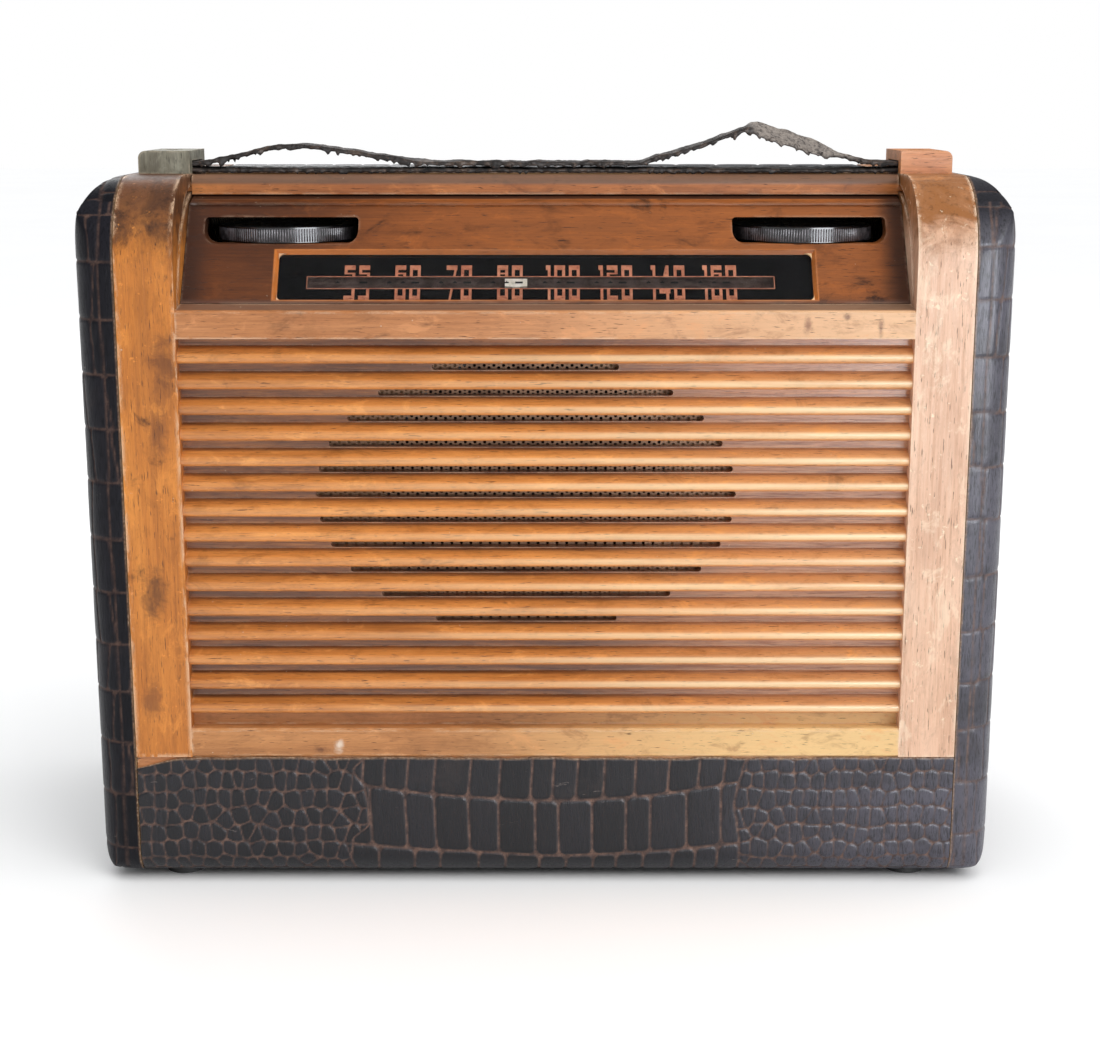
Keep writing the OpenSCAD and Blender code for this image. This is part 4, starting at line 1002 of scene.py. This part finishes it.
def corner_fillets():
    """Small quarter-round webs that round the window's corners."""
    v, f = [], []
    r = 3.0
    for sx, x in ((-1, 105.15), (1, 105.15)):
        for sz, z in ((-1, 1.45), (1, 23.25)):
            k = len(v)
            arc = [(x - r + r * math.cos(t), r - r * math.sin(t)) for t in np.linspace(0, math.pi / 2, 9)]
            outline = [(x, 0)] + arc
            for d in (0.55, 1.15):
                for a, b in outline:
                    v.append(on_panel(sx * a, d, z - sz * b))
            n = len(outline)
            f.append(list(range(k, k + n)))
            f.append(list(range(k + n, k + 2 * n))[::-1])
            f += [[k + q, k + (q + 1) % n, k + n + (q + 1) % n, k + n + q] for q in range(n)]
    place(new_mesh("window_corners", v, f, M["bottom_rail"], False), "cabinet", slot="panel_wood")


corner_fillets()


def panel_crest():
    """The panel's upper edge rolls back under the tambour's bead and closes the gap to it; its upper part is
    dark wood, a painted shadow of the bead.
    """
    case_top = 284.5
    centre = (FRONT * 1e3 + 55.8, case_top - 52.9)  # of the slats' path, in y and z
    for name, wood_name, a0, a1 in (("panel_crest", "panel", 67.5, 73.2),
                                    ("panel_crest_painted_shadow", "crest", 73.2, 86)):
        turn = np.radians(np.linspace(a0, a1, 12))
        xs = np.linspace(-141.6, 141.6, 95)
        profile = [(45.0, t) for t in turn] + [(43.4, t) for t in turn[::-1]]
        P = np.array([(x, centre[0] - r * math.cos(t), centre[1] + r * math.sin(t))
                      for x in xs for r, t in profile])
        P[:, 2] += 0.08 * wobble2(P[:, 0], P[:, 1], 9, 4, 12)
        n = len(profile)
        f = grid_faces(len(xs), n, close_m=True).tolist()
        f += [list(range(n))[::-1], [(len(xs) - 1) * n + i for i in range(n)]]
        place(new_mesh(name, P * 1e-3, f, M[wood_name]), "cabinet", slot="panel_wood")


panel_crest()

# ---------------------------------------------------------------- wheels

WHEEL_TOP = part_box("volume_wheel")[1].z * 1e3


def knurled(name, node, body):
    lo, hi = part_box(node)
    cx, cy = (lo.x + hi.x) / 2 * 1e3, (lo.y + hi.y) / 2 * 1e3
    rim_h = 5.9
    z0, z1 = WHEEL_TOP - rim_h, WHEEL_TOP
    ridges = 164
    n = ridges * 6
    a = np.arange(n) / n * 2 * math.pi
    ridge = np.cos(a * ridges)
    ridge = np.clip(ridge * 1.6, -1, 1) * 0.2
    rows = [(22.0, z1 + 0.02, 0), (26.9, z1 + 0.04, 0), (27.6, z1 - 0.05, 0), (27.95, z1 - 0.5, 0),
            (28.1, z1 - 0.9, 1), (28.1, z0 + 0.4, 1), (27.75, z0 + 0.1, 0.5), (26.5, z0 - 0.02, 0)]
    P = []
    for r, z, k in rows:
        rr = r + ridge * k
        P.append(np.stack([cx + rr * np.cos(a), cy + rr * np.sin(a), np.full(n, z)], 1))
    P = np.stack(P)
    f = grid_faces(len(rows), n, close_m=True, flip=True)
    # crest marks the ridge tops, which the knurl material paints grey as a highlight.
    crest = np.stack([(ridge > 0.05) * k for r, z, k in rows])
    o = new_mesh(name, P.reshape(-1, 3) * 1e-3, f, M["knurl"], values={"crest": crest.ravel()})
    return place(o, body, slot="black_plastic")


knurled("volume_knurl", "volume_wheel", "volume_thumbwheel")
knurled("tuning_knurl", "tuning_wheel", "tuning_thumbwheel")


# ---------------------------------------------------------------- strap

def strap(name, node, seed, ragged, rise, twist):
    """One cracked leather layer with torn, crumbling edges, along the CAD layer's own line."""
    co = np.array([v.co for v in nodes[node].data.vertices]) * 1e3
    xs = np.unique(np.round(co[:, 0], 1))
    top = np.array([co[np.abs(co[:, 0] - x) < 0.06, 2].max() for x in xs])
    low = np.array([co[np.abs(co[:, 0] - x) < 0.06, 2].min() for x in xs])
    yc, half = (co[:, 1].min() + co[:, 1].max()) / 2, (co[:, 1].max() - co[:, 1].min()) / 2
    x = np.arange(xs[0], xs[-1] + 0.3, 0.62)
    x[-1] = xs[-1]
    zt, zl = np.interp(x, xs, top), np.interp(x, xs, low)
    k = np.arange(-half, half + 0.01, 0.72)
    k = k / k.max()
    m = len(k)
    free = smooth(142, 136, np.abs(x))[:, None]
    X = np.repeat(x[:, None], m, 1)
    notch = (wobble2(x, x * 0, 1.7, 1, seed) * 0.5 + wobble2(x, x * 0, 4.6, 1, seed + 1)) * ragged
    notch2 = (wobble2(x, x * 0, 1.5, 1, seed + 2) * 0.5 + wobble2(x, x * 0, 5.1, 1, seed + 3)) * ragged
    edge = np.where(k[None] < 0, half - np.abs(notch)[:, None] * free, half - np.abs(notch2)[:, None] * free)
    Y = yc + k[None] * edge
    flatX, flatY = X.ravel(), Y.ravel()
    def on_strap(along, across, k, squeeze=0.0):
        return wobble2(flatX, flatY * squeeze, along, across, seed + k).reshape(X.shape)

    lump = (wobble2(flatX, flatY, 2.4, 2.4, seed + 4) * 0.22 + wobble2(flatX, flatY, 6, 5, seed + 5) * 0.25
            + wobble2(flatX, flatY, 0.9, 1.1, seed + 6) * 0.12).reshape(X.shape)
    near = smooth(0.78, 1.0, np.abs(k))[None]
    curl = near * on_strap(5.5, 1, 7) * rise
    T = zt[:, None] - 0.25 + (lump + np.maximum(curl, -0.4)) * free
    B = zl[:, None] + 0.2 + (on_strap(1.6, 1.6, 8, 1.0) * 0.18
                             - near * 0.5 * np.maximum(on_strap(2.2, 1, 9), 0)
                             ) * free
    tooth = np.maximum(on_strap(1.25, 9, 11, 0.3), 0)
    tooth = tooth * (0.55 + 0.45 * on_strap(8, 1, 12))
    B = B - near * tooth * 2.1 * ragged * free
    T = T - 0.35 * free
    T[:, [0, -1]] -= 0.5
    B[:, [0, -1]] += 0.3
    turned = twist * (smooth(81, 88, x) * smooth(124, 108, x))[:, None] * k[None]
    T, B = T + turned, B + turned
    n = len(x)
    bleach = (smooth(82, 86, x) * smooth(129, 121, x))[:, None] * np.minimum(twist, 1) * np.ones(m)[None]
    pale = np.concatenate([bleach, bleach[:, ::-1] * 0.25], 1).ravel()
    P = np.concatenate([np.stack([X, Y, T], -1), np.stack([X, Y, B], -1)[:, ::-1]], 1)
    f = grid_faces(n, 2 * m, close_m=True, flip=True)
    caps = [list(range(2 * m))[::-1], [(n - 1) * 2 * m + i for i in range(2 * m)]]
    o = new_mesh(name, P.reshape(-1, 3) * 1e-3, f.tolist() + caps, M["strap"], values={"pale": pale})
    return place(o, "cabinet", node, slot="strap_leather")


strap("strap_top_leather", "strap_upper_layer", 60, 1.5, 0.7, 2.6)
strap("strap_under_leather", "strap_lower_layer", 80, 1.1, 0.1, 0.0)


# ---------------------------------------------------------------- loudspeaker screen

def make_screen():
    lo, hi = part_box("perforated_screen")
    x0, x1, z0, z1 = (v * 1e3 for v in (lo.x, hi.x, lo.z, hi.z))
    y0, y1 = lo.y * 1e3, hi.y * 1e3
    pitch = 1.9
    reach_x, reach_z = 88, 61  # half sizes of the ellipse that the holes fill
    nx, nz = int((x1 - x0) / pitch), int((z1 - z0) / pitch)
    px, pz = (x1 - x0) / nx, (z1 - z0) / nz
    V, F = [], []
    cx, cz = SPEAKER
    hole_r = 0.66
    ang = np.arange(8) * math.pi / 4
    for i in range(nx):
        for k in range(nz - i % 2):
            a, c = x0 + (i + 0.5) * px, z0 + (k + 0.5 + 0.5 * (i % 2)) * pz
            hole = ((a - cx) / reach_x) ** 2 + ((c - cz) / reach_z) ** 2 < 1 and abs(a - x0) > 3
            s = len(V)
            sq = [(a + px / 2 * u, y0, c + pz / 2 * w) for u, w in
                  ((1, 0), (1, 1), (0, 1), (-1, 1), (-1, 0), (-1, -1), (0, -1), (1, -1))]
            V += sq
            if not hole:
                F.append([s + 1, s + 3, s + 5, s + 7])
                continue
            V += [(a + hole_r * math.cos(t), y0, c + hole_r * math.sin(t)) for t in ang]
            V += [(a + hole_r * math.cos(t), y1, c + hole_r * math.sin(t)) for t in ang]
            for q in range(8):
                r = (q + 1) % 8
                F.append([s + q, s + r, s + 8 + r, s + 8 + q])
                F.append([s + 8 + q, s + 8 + r, s + 16 + r, s + 16 + q])
    o = new_mesh("speaker_screen", np.array(V) * 1e-3, F, M["screen"], smooth_shade=False)
    return place(o, "cabinet", "perforated_screen", slot="screen_metal")


make_screen()

# ---------------------------------------------------------------- inside the back

def antenna_winding():
    """Turns of varnished wire round the card frame inside the door."""
    lo, hi = (np.array(c) * 1e3 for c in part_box("loop_antenna"))
    y = lo[1] - 0.35
    wire_r = 0.34
    r = 4  # of the winding's corners
    v, f = [], []
    for turn in range(11):
        inset = 2.2 + turn * 0.95
        x0, x1, z0, z1 = lo[0] + inset, hi[0] - inset, lo[2] + inset, hi[2] - inset
        path = []
        for cx, cz, start in ((x1 - r, z0 + r, -90), (x1 - r, z1 - r, 0),
                              (x0 + r, z1 - r, 90), (x0 + r, z0 + r, 180)):
            path += [(cx + r * math.cos(math.radians(start + a)), cz + r * math.sin(math.radians(start + a)))
                     for a in (0, 30, 60, 90)]
        path = np.array(path)
        tangent = np.roll(path, -1, 0) - np.roll(path, 1, 0)
        tangent /= np.linalg.norm(tangent, axis=1)[:, None]
        k = len(v)
        for (x, z), (tx, tz) in zip(path, tangent):
            for a in np.arange(6) * math.pi / 3:
                v.append(((x + wire_r * math.cos(a) * tz) * 1e-3, (y + wire_r * math.sin(a)) * 1e-3,
                          (z - wire_r * math.cos(a) * tx) * 1e-3))
        f += (grid_faces(len(path), 6, close_m=True) + k).tolist()
        last = k + (len(path) - 1) * 6
        f += [[last + q, last + (q + 1) % 6, k + (q + 1) % 6, k + q] for q in range(6)]
    place(new_mesh("antenna_winding", v, f, M["varnish"]), "rear_door", slot="brass")


def battery_wrap():
    """Paper bands and folded end flaps on the battery card."""
    lo, hi = (np.array(c) * 1e3 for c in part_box("battery_pack"))
    t = 0.15
    rows = []
    for z0, z1 in ((lo[2] + 9, lo[2] + 14), (hi[2] - 15, hi[2] - 9), (hi[2] - 7.5, hi[2] - 6.5)):
        rows += [((lo[0] - t, lo[1] - t, z0), (hi[0] + t, lo[1] + 0.02, z1)),
                 ((lo[0] - t, hi[1] - 0.02, z0), (hi[0] + t, hi[1] + t, z1)),
                 ((lo[0] - t, lo[1], z0), (lo[0] + 0.02, hi[1], z1)),
                 ((hi[0] - 0.02, lo[1], z0), (hi[0] + t, hi[1], z1))]
    place(boxes_mesh("battery_bands", rows, M["paper"], in_metres),
          "cabinet", slot="battery_card")
    mid = (lo[1] + hi[1]) / 2
    flaps = [((lo[0] + 0.5, lo[1] + 0.5, hi[2]), (hi[0] - 0.5, mid - 0.4, hi[2] + 0.3)),
             ((lo[0] + 0.5, mid + 0.4, hi[2]), (hi[0] - 0.5, hi[1] - 0.5, hi[2] + 0.3)),
             ((-3, mid - 8, hi[2] + 0.3), (22, mid + 8, hi[2] + 1.6))]
    place(boxes_mesh("battery_flaps", flaps, M["card"], in_metres),
          "cabinet", slot="battery_card")


antenna_winding()
battery_wrap()

# ---------------------------------------------------------------- studio

floor_mat = Mat("pale_floor")
haze = floor_mat.cloud(3, 4, 0.6, 0.5)
floor_mat.set(Base_Color=floor_mat.ramp(haze, (0.35, (0.975, 0.975, 0.975)), (0.65, (0.99, 0.99, 0.99))),
              Roughness=0.9, Specular_IOR_Level=0.0)
floor = new_mesh("studio_floor", [(-6, -4, 0), (6, -4, 0), (6, 8, 0), (-6, 8, 0)], [[0, 1, 2, 3]],
                 floor_mat.mat, False)

ROOM_LIGHT = 0.36  # the camera itself sees pure white
world = bpy.data.worlds.new("studio")
bpy.context.scene.world = world
world.use_nodes = True
sky_tree = world.node_tree
sky = sky_tree.nodes["Background"]
sky.inputs[0].default_value = (0.96, 0.98, 1.0, 1)
sky.inputs[1].default_value = ROOM_LIGHT
paper = sky_tree.nodes.new("ShaderNodeBackground")
paper.inputs[0].default_value = (1.0, 1.0, 1.0, 1)
paper.inputs[1].default_value = 1.0
seen = sky_tree.nodes.new("ShaderNodeLightPath")
both = sky_tree.nodes.new("ShaderNodeMixShader")
sky_tree.links.new(seen.outputs["Is Camera Ray"], both.inputs[0])
sky_tree.links.new(sky.outputs[0], both.inputs[1])
sky_tree.links.new(paper.outputs[0], both.inputs[2])
sky_tree.links.new(both.outputs[0], sky_tree.nodes["World Output"].inputs[0])
bpy.context.scene.view_settings.view_transform = "Standard"

sun = bpy.data.lights.new("overhead", "SUN")
sun.energy = 2.2
sun.angle = math.radians(85)
sun_o = bpy.data.objects.new("overhead", sun)
link(sun_o)
sun_o.visible_glossy = False
sun_o.visible_transmission = False
sun_o.rotation_euler = Vector((-0.22, 0.26, -0.94)).to_track_quat("-Z", "Y").to_euler()


def area(name, at, to, size, power, colour=(1, 1, 1)):
    light = bpy.data.lights.new(name, "AREA")
    light.shape = "RECTANGLE"
    light.size, light.size_y = size
    light.energy = power
    light.color = colour
    o = bpy.data.objects.new(name, light)
    link(o)
    o.location = at
    o.rotation_euler = (Vector(to) - Vector(at)).to_track_quat("-Z", "Y").to_euler()
    return o


area("key", (0.85, -1.25, 1.1), (0.05, -0.05, 0.15), (0.9, 0.9), 6, (1.0, 0.985, 0.96))
side = area("side", (0.72, -1.15, 0.22), (0.15, 0, 0.15), (0.9, 0.6), 22, (0.92, 0.95, 1.0))
side.visible_diffuse = False
area("rear", (-0.5, 1.5, 1.1), (0, 0, 0.15), (1.0, 0.8), 7)

CAMERA_AT = (0, -0.8165, 0.3145)
CAMERA_TILT = 77.55  # degrees from straight down
cam = bpy.data.cameras.new("camera")
cam.lens = 63.0
cam.sensor_width = 36.0
cam.shift_x = 0.0043
cam_o = bpy.data.objects.new("camera", cam)
link(cam_o)
cam_o.location = CAMERA_AT
cam_o.rotation_euler = (math.radians(CAMERA_TILT), 0, 0)
bpy.context.scene.camera = cam_o

bpy.context.view_layer.update()
